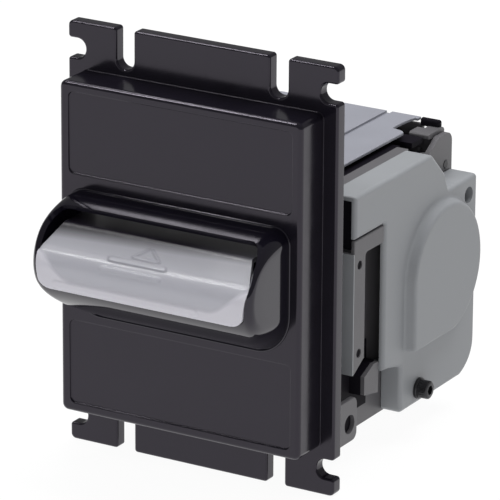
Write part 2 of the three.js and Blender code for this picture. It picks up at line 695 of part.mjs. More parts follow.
function makeDrum() {
  const half = 38;
  const groove = drum.tyreWidth / 2 + FIT;
  const floor = drum.core - 1;
  const profile = [
    [-48.6, 0], [-48.6, drum.journal], [-41, drum.journal], [-41, drum.shaft],
    [-half + 0.8, drum.shaft], [-half + 0.8, drum.core]];
  for (const centre of [-rollerX, rollerX]) {
    profile.push([centre - groove, drum.core], [centre - groove, floor]);
    profile.push([centre + groove, floor], [centre + groove, drum.core]);
  }
  profile.push([half, drum.core], [half, drum.shaft], [gearEnd, drum.shaft], [gearEnd, 0]);
  add('rear_drum', turned(profile), look.white, [0, drum.y, drum.z]);
  const tyreX = [-drum.tyreWidth / 2, drum.tyreWidth / 2];
  for (const [side, word] of SIDES) {
    const tyre = ring(tyreX, floor + 0.05, drum.tyre, 0.4, 24);
    add(`drum_tyre_${word}`, tyre, look.rubber, [side * rollerX, drum.y, drum.z]);
  }
}

function makeFrontRoller() {
  const end = wall.outer - FIT;
  const shaft = turned([[-end, 0], [-end, frontRoller.shaft], [end, frontRoller.shaft], [end, 0]], 20);
  add('front_roller_shaft', shaft, look.steel, [0, frontRoller.y, frontRoller.z]);
  const wheelX = [-frontRoller.width / 2, frontRoller.width / 2];
  for (const [side, word] of SIDES) {
    const wheel = ring(wheelX, frontRoller.shaft + 0.05, frontRoller.radius, 0.4);
    add(`front_roller_${word}`, wheel, look.rubber, [side * rollerX, frontRoller.y, frontRoller.z]);
  }
}

function makeBelt() {
  const circles = [
    { name: 'drum_pulley', ...drum, radius: pulley.drum },
    { name: 'front_pulley', ...frontRoller, radius: pulley.front },
  ];
  const [x0, x1] = pulley.x;
  const half = (x1 - x0) / 2;
  for (const { name, y, z, radius, shaft } of circles) {
    add(name, ring([-half, half], shaft + 0.05, radius), look.white, [(x0 + x1) / 2, y, z]);
  }
  const loop = beltLoop(circles[0], circles[1], GAP + pulley.belt);
  loop.holes.push(beltLoop(circles[0], circles[1], GAP, THREE.Path));
  add('drive_belt', alongX(loop, [x0 + GAP, x1 - GAP], 10), look.rubber);
}

function makeGears() {
  const toDrum = Math.PI / 2;
  const idler = spurGear(teeth.idler, gearX, stud.radius + FIT, toDrum);
  add('idler_gear', idler, look.white, [0, boss.y, boss.z]);
  const drumPhase = -toDrum + Math.PI / teeth.drum;
  const drumGear = spurGear(teeth.drum, gearX, drum.shaft + 0.05, drumPhase);
  add('drum_gear', drumGear, look.white, [0, drum.y, drum.z]);
  const fromTooth = ((motor.angle - toDrum) * teeth.idler / (2 * Math.PI)) % 1;
  const pinionPhase = motor.angle + Math.PI + (0.5 + fromTooth) * (2 * Math.PI / teeth.pinion);
  const pinion = spurGear(teeth.pinion, gearX, motor.shaft + 0.05, pinionPhase);
  add('motor_pinion', pinion, look.brass, [0, motorAxis.y, motorAxis.z]);
  const head = wall.inner - FIT;
  const profile = [
    [head - 0.9, 0], [head - 0.9, stud.head], [head, stud.head], [head, stud.radius],
    [stud.end, stud.radius], [stud.end, 0]];
  add('idler_stud', turned(profile, 16), look.steel, [0, boss.y, boss.z]);
}

function makeMotor() {
  const place = [0, motorAxis.y, motorAxis.z];
  const [x0, x1] = motor.x;
  const profile = [
    [x0, 0], [x0, 5], [x0 + 2, 5], [x0 + 2, motor.radius - 1], [x0 + 3, motor.radius],
    [x1, motor.radius], [x1, 3.2], [x1 + 2, 3.2], [x1 + 2, 0]];
  const bore = cylinderX(motor.shaft + 0.2, [x0 - 1, x1 + 3], 0, 0, 12);
  add('drive_motor', cut(turned(profile), bore), look.zinc, place);

  const [e0, e1] = encoder.x;
  const shaft = turned([[e0 - 1, 0], [e0 - 1, motor.shaft], [gearEnd, motor.shaft], [gearEnd, 0]], 12);
  add('motor_shaft', shaft, look.steel, place);

  const slits = [];
  for (let i = 0; i < encoder.slits; i++) {
    const angle = 2 * Math.PI * i / encoder.slits;
    const y = encoder.slitReach * Math.cos(angle);
    const z = encoder.slitReach * Math.sin(angle);
    slits.push(cylinderX(1.1, [e0 - 1, e1 + 1], y, z, 6));
  }
  const disc = ring(encoder.x, motor.shaft + 0.05, encoder.radius);
  add('encoder_wheel', cut(disc, ...slits), look.blackPlastic, place);
}

function makeBushes() {
  for (const [side, word] of SIDES) {
    const drumBore = side > 0 ? drum.shaft : drum.journal;
    const seats = [
      ['drum', drum, drumBore, wall.outer + 0.6],
      ['front', frontRoller, frontRoller.shaft, wall.outer],
    ];
    for (const [name, roller, bore, end] of seats) {
      const bush = ring(span(side, wall.inner, end), bore + 0.08, roller.shaft + bushWall - 0.05);
      add(`${name}_bush_${word}`, bush, look.brass, [0, roller.y, roller.z]);
    }
  }
}

function makeGate() {
  const pieces = [cylinderX(gate.shaft, [-gate.halfLength, gate.halfLength], 0, 0, 12)];
  for (const side of [-1, 1]) {
    const reach = gate.tip - gate.z;
    const shape = outline([[-1.4, -1], [1.4, -1], [1.2, 6], [0.2, reach], [-1.2, reach - 2]]);
    const x = side * gate.fingerX;
    pieces.push(alongX(shape, [x - gate.finger / 2, x + gate.finger / 2]));
  }
  add('pullback_gate', join(...pieces), look.white, [0, gate.y, gate.z]);
  for (const [side, word] of SIDES) {
    const x = span(side, gate.halfLength - 3.7, gate.halfLength + 3);
    const hanger = block(x, [gate.y - 4, gate.y + 4], [gate.z - 4, path.floor - path.sheet - FIT]);
    const boreX = span(side, gate.halfLength - 6, gate.halfLength + GAP);
    const bore = cylinderX(gate.shaft + GAP, boreX, gate.y, gate.z, 12);
    add(`gate_bracket_${word}`, cut(hanger, bore), look.blackPlastic);
  }
}

// ---------------------------------------------------- the hinged head and latch

/** Windows in the head for one pinch roller, its shaft and one gate finger. */
function headWindows(side) {
  const roller = frontRoller.width / 2 + 0.6;
  const x = [side * rollerX - roller, side * rollerX + roller];
  const shaft = pinch.shaft + 0.2;
  return [
    block(x, [frontRoller.y - 4, frontRoller.y + 4], [path.roof - 1, head.top + 1]),
    block([x[0] - 2, x[1] + 2],
      [frontRoller.y - shaft, frontRoller.y + shaft],
      [pinch.z - shaft, head.top + 1]),
    block([side * gate.fingerX - 2, side * gate.fingerX + 2],
      [gate.y - 3, gate.y + 4],
      [path.roof - 1, path.roof + 1]),
  ];
}

function makeHead() {
  const half = head.halfWidth;
  const tail = [head.tailBottom, head.top];
  const pieces = [
    block([-half, half], [head.front, head.rear], [path.roof, head.top]),
    block([-24, 24], [head.rear - 1, head.tail], tail),
    block([23, 37.5], [88, head.tail], tail),
  ];
  for (const side of [-1, 1]) {
    const x = span(side, 26, half);
    pieces.push(
      cylinderX(headHinge.barrel, x, headHinge.y, headHinge.z, 16),
      block(x, [headHinge.y, head.front + 1], [headHinge.z - 2.2, headHinge.z + 2.2]));
  }
  const pocket = block([-30, 30], [44, 80], [22.4, head.top + 1]);
  const eye = block([-4, 4], [45.5, 52.5], [path.roof - 1, 23]);
  const pinX = [-half - 1, half + 1];
  const pinHole = cylinderX(headHinge.pin + GAP / 2, pinX, headHinge.y, headHinge.z, 16);
  const frame = cut(join(...pieces), ...headWindows(-1), ...headWindows(1), pocket, pinHole, eye);
  add('head_frame', frame, look.blackPlastic);
  const pinEnd = wall.inner - 0.5;
  const pin = cylinderX(headHinge.pin, [-pinEnd, pinEnd], headHinge.y, headHinge.z, 16);
  add('head_hinge_pin', pin, look.steel);

  const sensorBoard = join(
    block([-29.5, 29.5], [44.5, 79.5], [22.6, 23.8]),
    block([-12, -2], [56, 66], [23.6, 25.2]),
    block([6, 16], [58, 64], [23.6, 25]),
    block([-3, 3], [46.5, 51.5], [20.9, 22.8]));
  add('head_sensor_board', sensorBoard, look.board);

  const w = frontRoller.width / 2;
  const profile = [
    [-w - 2.2, 0], [-w - 2.2, pinch.shaft], [-w, pinch.shaft], [-w, pinch.radius],
    [w, pinch.radius], [w, pinch.shaft], [w + 2.2, pinch.shaft], [w + 2.2, 0]];
  for (const [side, word] of SIDES) {
    const place = [side * rollerX, frontRoller.y, pinch.z];
    add(`pinch_roller_${word}`, turned(profile, 16), look.rubber, place);
  }
}

function makeLid() {
  const shape = new THREE.Shape();
  shape.moveTo(-lid.halfWidth, lid.front);
  shape.lineTo(lid.halfWidth, lid.front);
  shape.lineTo(lid.halfWidth, thumbCut.front - 4);
  shape.quadraticCurveTo(lid.halfWidth - 4, thumbCut.front, thumbCut.x, thumbCut.front + 1);
  shape.quadraticCurveTo(thumbCut.x - 1, thumbCut.rear - 2, thumbCut.x + 1, thumbCut.rear);
  shape.lineTo(thumbCut.tail, thumbCut.rear + 0.3);
  shape.lineTo(thumbCut.tail, lid.rear);
  shape.lineTo(-lid.halfWidth + 1, lid.rear);
  shape.lineTo(-lid.halfWidth, lid.rear - 1);
  const plate = alongZ(shape, [lid.bottom, lid.top], 5);
  const grooves = [-1, 1].map((side) => block(
    span(side, lid.grooveX - 1.2, lid.grooveX + 1.2),
    [lid.front - 1, lid.rear + 1],
    [lid.top - 0.9, lid.top + 1]));
  const skirtZ = [lid.bottom - 2, lid.bottom + 0.5];
  const skirt = [block([-30, -28], [100, 109], skirtZ), block([-2, 20], [107, 109], skirtZ)];
  add('top_cover', cut(join(plate, ...skirt), ...grooves), look.lightGrey);
  const headZ = [lid.top + FIT, lid.top + 1.1];
  add('top_cover_screw_1', cylinderZ(2.2, -lid.screw.x, lid.screw.y, headZ, 14), look.blackScrew);
  add('top_cover_screw_2', cylinderZ(2.2, lid.screw.x, lid.screw.y, headZ, 14), look.blackScrew);
}

function makeLatch() {
  const [x0, x1] = latch.x;
  const top = latch.padTop - latch.z;
  const crown = latch.barrel - 0.2;
  const arm = new THREE.Shape();
  arm.moveTo(latch.barrel, 0);
  arm.absarc(0, latch.top - latch.z - crown, crown, 0, Math.PI);
  arm.lineTo(-latch.barrel, 0);
  arm.absarc(0, 0, latch.barrel, Math.PI, 2 * Math.PI);
  const pad = block([latch.padX, x1], [latch.padFront - latch.y, -2.8], [top - 2, top]);
  const cap = new THREE.Shape();
  cap.moveTo(crown, top - 1);
  cap.absarc(0, latch.top - latch.z - crown, crown, 0, Math.PI);
  cap.lineTo(-crown, top - 1);
  const capSolid = alongX(cap, [latch.crownX, x1], 6);
  const bore = cylinderX(latch.pin + GAP / 2, [x0 - 1, x1 + 1], 0, 0, 16);
  const lever = cut(join(alongX(arm, [x0, x1], 6), pad, capSolid), bore);
  add('release_lever', lever, look.darkGrey, [0, latch.y, latch.z]);
  const pin = cylinderX(latch.pin, [x0 - 4, ear.outer + 0.2], latch.y, latch.z, 16);
  add('release_lever_pin', pin, look.blackScrew);
  const { x, radius, wire, turns } = latchSpring;
  add('latch_spring', coilX(x, radius, wire, turns), look.steel, [0, latch.y, latch.z]);
}

// ------------------------------------------------------------------- assembly

makeBezel();
makeSnout();
makeTray();
makeLedBoard();
for (const [side, word] of SIDES) {
  makeChassisSide(side, `chassis_side_${word}`);
  makeMountingPost(side, `mounting_post_${word}`);
  makeFlangeLug(side, `flange_lug_${word}`);
  makeSideCover(side, `side_cover_${word}`, side > 0);
}
makeLowerGuide();
makeRearGuides();
makeRearCover();
makeBase();
makeDrum();
makeFrontRoller();
makeBelt();
makeGears();
makeMotor();
makeBushes();
makeGate();
makeHead();
makeLid();
makeLatch();

export default validator;
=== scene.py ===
"""Looks of a door-mounted bill validator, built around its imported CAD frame.

Blender units are metres, in the frame's own axes: the origin is the centre of the mounting flange's
front face, +X is to the right seen by the customer, +Y goes into the machine and +Z is up.
Shapes are drawn in millimetres and scaled once, when their mesh is made.
"""

import json
import math

import bmesh
import bpy
import numpy as np
from mathutils import Matrix, Vector


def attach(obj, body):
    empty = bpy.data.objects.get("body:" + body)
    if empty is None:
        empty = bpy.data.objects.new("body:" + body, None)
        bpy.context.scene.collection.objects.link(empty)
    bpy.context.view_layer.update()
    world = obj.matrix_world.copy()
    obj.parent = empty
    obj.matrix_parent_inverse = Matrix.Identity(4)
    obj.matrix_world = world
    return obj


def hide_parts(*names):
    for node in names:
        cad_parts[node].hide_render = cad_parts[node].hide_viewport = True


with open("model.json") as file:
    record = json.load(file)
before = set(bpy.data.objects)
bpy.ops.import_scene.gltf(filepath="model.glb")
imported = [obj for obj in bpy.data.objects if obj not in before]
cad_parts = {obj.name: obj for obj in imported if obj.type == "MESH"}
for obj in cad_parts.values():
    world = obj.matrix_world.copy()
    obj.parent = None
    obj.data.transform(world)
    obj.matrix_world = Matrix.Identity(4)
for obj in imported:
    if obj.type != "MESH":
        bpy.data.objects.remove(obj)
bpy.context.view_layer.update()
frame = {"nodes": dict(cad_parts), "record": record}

MM = 0.001


# ---- sizes in mm; CAMERA's aim and distance and the lit point are in metres

FLANGE = {"half_x": 55.75, "half_z": 80.5, "thick": 5.0, "corner": 2.0, "edge": 0.9}
SLOT = {"width": 7.2, "half_pitch": 31.75, "end": 65.5}
NOTCH = {"height": 7.2, "z": 70.4, "end": 48.5}
BOX = {"half_x": 50.0, "half_z": 63.0, "front": -15.2, "wall": 2.5, "edge": 1.7, "corner": 2.6}
PANEL = {"half_x": 46.2, "depth": 0.8, "upper": (28.6, 59.4), "lower": (-59.4, -27.2)}
SNOUT = {
    "half_x": 45.5, "top": 23.4, "bottom": -23.8, "nose_y": -42.2, "nose_z": 2.5, "wall": 2.0,
    "top_radius": 6.0, "nose_radius": 3.2, "bottom_radius": 13.0, "bottom_rise": 14.86,
    "back": -12.6, "crest_z": 21.6, "lip_z": -5.6, "rim": 0.95,
}
HOOD_STEPS = {"window": 10, "corner": 12, "cheek": 4}
TRAY = {"floor": 15.8, "ramp_top": -29.6, "ramp_foot": (-37.7, 9.2), "nose_y": -41.9, "sheet": 1.8}
# crease of the tray's relief; the tray is also painted paler below it, as painted light
CREASE = {"from": 28, "to": 46, "height": 10.0, "base": -1.8}
BARS = ((-15, 9, 39.6), (-17, 8, 43.9))
ARROW = {"tip": 32.4, "base": 37.4, "half": 5.6, "middle": -0.4}
POST = {"inner": 43.6, "outer": 51.7, "foot": 5.1, "hole_y": 24.5, "hole_z": (-0.4, -34.0)}
LUG_HOLE = (18.5, -59.5)
COVER = {"rim": 43.8, "outer": 52.0, "wall": 2.0, "edge": 1.6}
SCREW_LOW = (69.4, -61.9)
SCREW_HIGH = (106.2, 2.6)
BOSS = {"y": 84.5, "z": -19.5, "base": 27.6, "crown": 23.4, "bottom": -44.6}
LEVER = {"pin": (108.6, 12.0), "inner": 33.0, "outer": 38.3, "pad_top": 25.5}
DRUM_AT = (84.5, 2.0)
FRONT_AT = (32.0, 8.5)
PINCH_AT = (32.0, 22.0)
ROLLER_X = 24.0
CAMERA = {
    "azimuth": 30.45, "elevation": 19.34, "roll": 0.37, "aim": (0.0031, 0.0296, -0.0051),
    "distance": 1.75615, "lens": 348.05, "sensor": 36.0,
}
LIT = (0.0, 0.03, 0.0)
SIDES = ((-1, "left"), (1, "right"))
GAP = 0.3
FLAT_ANGLE = math.radians(0.8)


# ---- outlines, in 2-D

def arc(centre, radius, start, end, steps):
    """Points on a circle, angles in degrees."""
    angles = np.radians(np.linspace(start, end, steps + 1))
    return [(centre[0] + radius * math.cos(a), centre[1] + radius * math.sin(a)) for a in angles]


def fillet(corners, steps):
    """Closed outline from (u, v, radius) corners, each corner rounded by its radius."""
    points = []
    count = len(corners)
    for i, (u, v, radius) in enumerate(corners):
        here = Vector((u, v))
        before = (Vector(corners[i - 1][:2]) - here).normalized()
        after = (Vector(corners[(i + 1) % count][:2]) - here).normalized()
        angle = before.angle(after)
        if radius <= 0 or angle > math.radians(179):
            points.append((u, v))
            continue
        reach = radius / math.tan(angle / 2)
        centre = here + (before + after).normalized() * radius / math.sin(angle / 2)
        start = here + before * reach - centre
        end = here + after * reach - centre
        turn = math.atan2(start.x * end.y - start.y * end.x, start.dot(end))
        for k in range(steps + 1):
            a = turn * k / steps
            points.append((
                centre.x + start.x * math.cos(a) - start.y * math.sin(a),
                centre.y + start.x * math.sin(a) + start.y * math.cos(a)))
    return points


def rectangle(u0, u1, v0, v1, radius):
    return [(u0, v0, radius), (u1, v0, radius), (u1, v1, radius), (u0, v1, radius)]


def bezier(p0, p1, p2, p3, steps):
    t = np.linspace(0, 1, steps + 1)[:, None]
    p0, p1, p2, p3 = (np.array(p, float) for p in (p0, p1, p2, p3))
    curve = (1 - t) ** 3 * p0 + 3 * (1 - t) ** 2 * t * p1 + 3 * (1 - t) * t ** 2 * p2 + t ** 3 * p3
    return [tuple(p) for p in curve]


def signed_area(points):
    p = np.array(points)
    q = np.roll(p, -1, axis=0)
    return float(np.sum(p[:, 0] * q[:, 1] - q[:, 0] * p[:, 1]) / 2)


def inset(points, distance):
    """Outline moved inwards by a distance, each corner along its own bisector."""
    p = np.array(points, float)
    back = p - np.roll(p, 1, axis=0)
    ahead = np.roll(p, -1, axis=0) - p
    back /= np.linalg.norm(back, axis=1)[:, None]
    ahead /= np.linalg.norm(ahead, axis=1)[:, None]
    turn = 1.0 if signed_area(points) > 0 else -1.0
    normal = turn * np.stack([-(back + ahead)[:, 1], (back + ahead)[:, 0]], axis=1)
    length = np.linalg.norm(normal, axis=1)[:, None]
    normal /= np.maximum(length, 1e-6)
    half_cosine = np.maximum(length / 2, 0.35)
    return [tuple(q) for q in p + normal * distance / half_cosine]


def shrunk(shape, distance):
    """Shape moved inwards: a list of points, or of (u, v, radius) corners that keep their rounding."""
    places = inset([corner[:2] for corner in shape], distance)
    if len(shape[0]) == 2:
        return places
    turn = 1.0 if signed_area(places) > 0 else -1.0
    moved = []
    for i, (u, v, radius) in enumerate(shape):
        back = Vector((u - shape[i - 1][0], v - shape[i - 1][1]))
        following = shape[(i + 1) % len(shape)]
        ahead = Vector((following[0] - u, following[1] - v))
        if radius > 0:
            bulges = turn * (back.x * ahead.y - back.y * ahead.x) > 0
            radius = max(radius - distance, 0.04) if bulges else radius + distance
        moved.append((places[i][0], places[i][1], radius))
    return moved


def drawn(shape, distance, steps):
    """Points of a shape moved inwards by a distance."""
    moved = shrunk(shape, distance) if distance else shape
    return fillet(moved, steps) if len(shape[0]) == 3 else list(moved)


# ---- mesh building

def on_axis(axis, u, v, w):
    """Point at w along an axis and at (u, v) across it."""
    return {"x": (w, u, v), "y": (u, w, v), "z": (u, v, w)}[axis]


def placed(name, data):
    """New object in the scene that holds a mesh, a light or a camera."""
    made = bpy.data.objects.new(name, data)
    bpy.context.scene.collection.objects.link(made)
    return made


def edit(body, change):
    """Applies a change to the editable form of a body's mesh."""
    work = bmesh.new()
    work.from_mesh(body.data)
    change(work)
    work.to_mesh(body.data)
    work.free()
    return body


def new_object(name, points, faces):
    """Object from points in millimetres, with its faces turned outwards."""
    mesh = bpy.data.meshes.new(name)
    mesh.from_pydata([tuple(c * MM for c in p) for p in points], [], faces)
    return edit(placed(name, mesh), lambda work: bmesh.ops.recalc_face_normals(work, faces=work.faces))


def slab(name, shape, axis, low, high, edge_low=0.0, edge_high=0.0, steps=3, corner_steps=5):
    """Shape extruded along an axis, with round edges of their own radius at the two ends."""
    angles = [math.pi / 2 * k / steps for k in range(steps + 1)]

    def end(level, edge):
        """Level and inset of each ring, from the end's face inwards to the full outline."""
        if not edge:
            return [(level, 0.0)]
        return [(level + edge * (1 - math.sin(a)), abs(edge) * (1 - math.cos(a))) for a in angles]

    rings = end(low, edge_low)[::-1] + end(high, -edge_high)
    verts = [
        on_axis(axis, u, v, level)
        for level, shrink in rings for u, v in drawn(shape, shrink, corner_steps)]
    return new_object(name, verts, ring_faces(len(rings), len(verts) // len(rings)))


def ring_faces(rings, count):
    """Faces between equal rings of points, and over both ends."""
    faces = [list(range(count)), list(range((rings - 1) * count, rings * count))]
    for r in range(rings - 1):
        for i in range(count):
            j = (i + 1) % count
            faces.append([r * count + i, r * count + j, (r + 1) * count + j, (r + 1) * count + i])
    return faces


def brick(name, x, y, z, radius=0.0):
    """Block from low and high on each axis, with round upright edges and round ends."""
    shape = rectangle(*sorted(x), *sorted(y), radius)
    return slab(name, shape, "z", *sorted(z), radius * 0.6, radius * 0.6, 2, 3)


def lathe(name, profile, axis, centre, steps):
    """Profile of (along, radius) points turned about an axis through a centre (u, v)."""
    closed = profile[0] == profile[-1]
    ring = profile[:-1] if closed else profile
    verts, faces = [], []
    for k in range(steps):
        a = 2 * math.pi * k / steps
        verts += [
            on_axis(axis, centre[0] + r * math.cos(a), centre[1] + r * math.sin(a), along)
            for along, r in ring]
    size = len(ring)
    for k in range(steps):
        n = (k + 1) % steps
        for i in range(size if closed else size - 1):
            j = (i + 1) % size
            faces.append([k * size + i, k * size + j, n * size + j, n * size + i])

    def weld(work):
        bmesh.ops.remove_doubles(work, verts=work.verts, dist=1e-6)
        bmesh.ops.recalc_face_normals(work, faces=work.faces)

    return edit(new_object(name, verts, faces), weld)


def rod(name, radius, centre, low, high, steps=32):
    """Round bar along X."""
    return lathe(name, [(low, 0.0), (low, radius), (high, radius), (high, 0.0)], "x", centre, steps)


def settle(body):
    """Bakes a body's modifiers into its mesh."""
    graph = bpy.context.evaluated_depsgraph_get()
    mesh = bpy.data.meshes.new_from_object(body.evaluated_get(graph))
    body.modifiers.clear()
    body.data = mesh
    return body


def combine(body, tools, operation):
    """Adds solids to a body, or cuts them out of it, one after the other."""
    for tool in tools:
        modifier = body.modifiers.new("combine", "BOOLEAN")
        modifier.operation = operation
        modifier.solver = "EXACT"
        modifier.object = tool
    settle(body)
    for tool in tools:
        bpy.data.objects.remove(tool)
    return body


def cut(body, *tools):
    return combine(body, tools, "DIFFERENCE")


def join(body, *tools):
    return combine(body, tools, "UNION")


def smooth(body, angle=32.0):
    """Shades a body smooth, and keeps the edges sharper than the angle crisp."""
    def shade(work):
        for face in work.faces:
            face.smooth = True
        for edge in work.edges:
            edge.smooth = len(edge.link_faces) != 2 or edge.calc_face_angle(0) < math.radians(angle)

    return edit(body, shade)


def bevelled(body, width, angle, segments=2):
    """Rounds the edges sharper than an angle by a width in millimetres."""
    bevel = body.modifiers.new("edges", "BEVEL")
    bevel.width = width * MM
    bevel.segments = segments
    bevel.limit_method = "ANGLE"
    bevel.angle_limit = math.radians(angle)
    return settle(body)


def soften(body, width, angle=35.0):
    """Merges flat faces, rounds the sharp edges and shades the body smooth."""
    def merge(work):
        bmesh.ops.remove_doubles(work, verts=work.verts, dist=2e-6)
        bmesh.ops.dissolve_limit(work, angle_limit=FLAT_ANGLE, verts=work.verts, edges=work.edges)

    smooth(bevelled(edit(body, merge), width, angle))
    weights = body.modifiers.new("flat faces", "WEIGHTED_NORMAL")
    weights.keep_sharp = True
    return settle(body)


def thicken(body, thickness):
    """Gives an open skin a wall behind it, after turning its upper faces up."""
    def face_up(work):
        top_face = max(work.faces, key=lambda face: face.calc_center_median().z)
        if top_face.normal.z < 0:
            bmesh.ops.reverse_faces(work, faces=work.faces)

    wall = edit(body, face_up).modifiers.new("wall", "SOLIDIFY")
    wall.thickness = thickness * MM
    wall.offset = -1
    return settle(body)


def refined(part, name, width):
    """Copy of a CAD node's solid with its sharp edges rounded."""
    body = placed(name, frame["nodes"][part].data.copy())
    body.data.materials.clear()
    return soften(body, width)


def tube(name, path, radius, closed=False, around=10):
    """Round bar along a path of 3-D points."""
    points = [Vector(p) for p in path]
    count = len(points)
    verts, faces = [], []
    side = None
    for i, point in enumerate(points):
        before = points[i - 1] if closed or i else point
        after = points[(i + 1) % count] if closed or i < count - 1 else point
        ahead = (after - before).normalized()
        if side is None:
            side = ahead.orthogonal().normalized()
        side = (side - ahead * side.dot(ahead)).normalized()
        up = ahead.cross(side)
        for k in range(around):
            a = 2 * math.pi * k / around
            verts.append(point + side * radius * math.cos(a) + up * radius * math.sin(a))
    for i in range(count if closed else count - 1):
        n = (i + 1) % count
        for k in range(around):
            m = (k + 1) % around
            faces.append([i * around + k, i * around + m, n * around + m, n * around + k])
    if not closed:
        faces += [list(range(around)), list(range((count - 1) * around, count * around))]
    return smooth(new_object(name, verts, faces), 50)


def mirrored(points):
    """Outline reflected in its first coordinate."""
    return [(-u, v) for u, v in reversed(points)]


def sided(side, a, b):
    """Low and high along X of a span given for the right side, on either side."""
    return (a, b) if side > 0 else (-b, -a)


def smoothstep(low, high, value):
    t = np.clip((np.asarray(value, float) - low) / (high - low), 0, 1)
    return t * t * (3 - 2 * t)


# ---- materials

def node(tree, kind, sockets=None, **settings):
    """Adds a shader node; each socket takes a number, a colour or another node's output."""
    made = tree.nodes.new(kind)
    for key, value in settings.items():
        setattr(made, key, value)
    for key, value in (sockets or {}).items():
        if isinstance(value, bpy.types.NodeSocket):
            tree.links.new(value, made.inputs[key])
        else:
            made.inputs[key].default_value = value
    return made


def maths(tree, operation, *values):
    return node(tree, "ShaderNodeMath", dict(enumerate(values)), operation=operation).outputs[0]


def noise(tree, place, scale, detail=2.0, rough=0.5):
    sockets = {"Vector": place, "Scale": scale, "Detail": detail, "Roughness": rough}
    return node(tree, "ShaderNodeTexNoise", sockets).outputs[0]


def blank(name, **sockets):
    """New material, with its tree, its shader set to constants, and object coordinates."""
    made = bpy.data.materials.new(name)
    made.use_nodes = True
    tree = made.node_tree
    shader = tree.nodes["Principled BSDF"]
    for key, value in sockets.items():
        shader.inputs[key.replace("_", " ")].default_value = value
    return made, tree, shader, node(tree, "ShaderNodeTexCoord").outputs["Object"]


def remap(tree, value, low, high, to_low, to_high):
    sockets = {"Value": value, "From Min": low, "From Max": high, "To Min": to_low, "To Max": to_high}
    return node(tree, "ShaderNodeMapRange", sockets).outputs["Result"]


def blended(tree, share, a, b):
    """Colour between a and b."""
    sockets = {0: share, 6: a, 7: b}
    return node(tree, "ShaderNodeMix", sockets, data_type="RGBA").outputs[2]


def tone(colour, factor):
    return tuple(min(c * factor, 1.0) for c in colour) + (1.0,)


def worn_edges(tree, clouds):
    """1 on patches of the sharp edges, 0 elsewhere."""
    rounded = node(tree, "ShaderNodeBevel", {"Radius": 0.45 * MM}, samples=4)
    flat = node(tree, "ShaderNodeNewGeometry")
    sockets = {0: rounded.outputs["Normal"], 1: flat.outputs["Normal"]}
    likeness = node(tree, "ShaderNodeVectorMath", sockets, operation="DOT_PRODUCT").outputs["Value"]
    edge = remap(tree, likeness, 0.99, 0.86, 0.0, 1.0)
    patches = remap(tree, clouds, 0.42, 0.62, 0.15, 1.0)
    return maths(tree, "MULTIPLY", edge, patches)


def surface(name, colour, rough, metal=0.0, coat=0.0, mottle=0.05, smudge=0.05, cloud=14.0, grain=0.35,
            bump=0.010, wear=0.0, worn=2.2, stretch=(1.0, 1.0, 1.0), subsurface=0.0, specular=0.5,
            tint=(1.0, 1.0, 1.0), pattern=None):
    """Moulded or machined surface: clouded colour, uneven gloss, fine grain and pale worn edges.

    cloud and grain are the sizes of the markings and bump is the depth of the grain, in millimetres.
    """
    made, tree, shader, place = blank(
        name, Metallic=metal, Coat_Weight=coat, Coat_Roughness=0.06, Specular_IOR_Level=specular,
        Specular_Tint=tint + (1.0,))
    stretched = node(tree, "ShaderNodeMapping", {"Vector": place, "Scale": stretch}).outputs[0]
    clouds = noise(tree, place, 1 / (cloud * MM), 5.0, 0.6)
    fine = noise(tree, stretched, 1 / (grain * MM), 3.0, 0.65)
    cloudiness = remap(tree, clouds, 0.3, 0.7, 0.0, 1.0)
    paint = blended(tree, cloudiness, tone(colour, 1 - mottle), tone(colour, 1 + mottle))
    specks = remap(tree, fine, 0.62, 0.78, 0.0, min(4 * mottle, 0.5))
    paint = blended(tree, specks, paint, tone(colour, 1.35))
    if pattern:
        paint = pattern(tree, place, paint)
    if wear:
        share = maths(tree, "MULTIPLY", worn_edges(tree, clouds), wear)
        paint = blended(tree, share, paint, tone([c + 0.01 for c in colour], worn))
    gloss = remap(tree, clouds, 0.3, 0.7, max(rough - smudge, 0.02), rough + smudge)
    relief = {"Height": fine, "Strength": 0.5, "Distance": bump * MM}
    tree.links.new(paint, shader.inputs["Base Color"])
    tree.links.new(gloss, shader.inputs["Roughness"])
    tree.links.new(node(tree, "ShaderNodeBump", relief).outputs[0], shader.inputs["Normal"])
    if subsurface:
        shader.inputs["Subsurface Weight"].default_value = subsurface
        shader.inputs["Subsurface Radius"].default_value = (1.0, 1.0, 1.1)
        shader.inputs["Subsurface Scale"].default_value = 1.5 * MM
    return made


def tracks(tree, place, paint):
    """Fine copper tracks and pads under a board's lacquer."""
    bricks = {
        "Vector": place, "Color1": (0.0, 0.0, 0.0, 1.0), "Color2": (0.0, 0.0, 0.0, 1.0),
        "Mortar": (1.0, 1.0, 1.0, 1.0), "Scale": 1 / (9 * MM), "Mortar Size": 0.035,
        "Brick Width": 0.7, "Row Height": 0.16}
    lines = node(tree, "ShaderNodeTexBrick", bricks).outputs["Color"]
    return blended(tree, maths(tree, "MULTIPLY", lines, 0.45), paint, (0.10, 0.26, 0.10, 1.0))


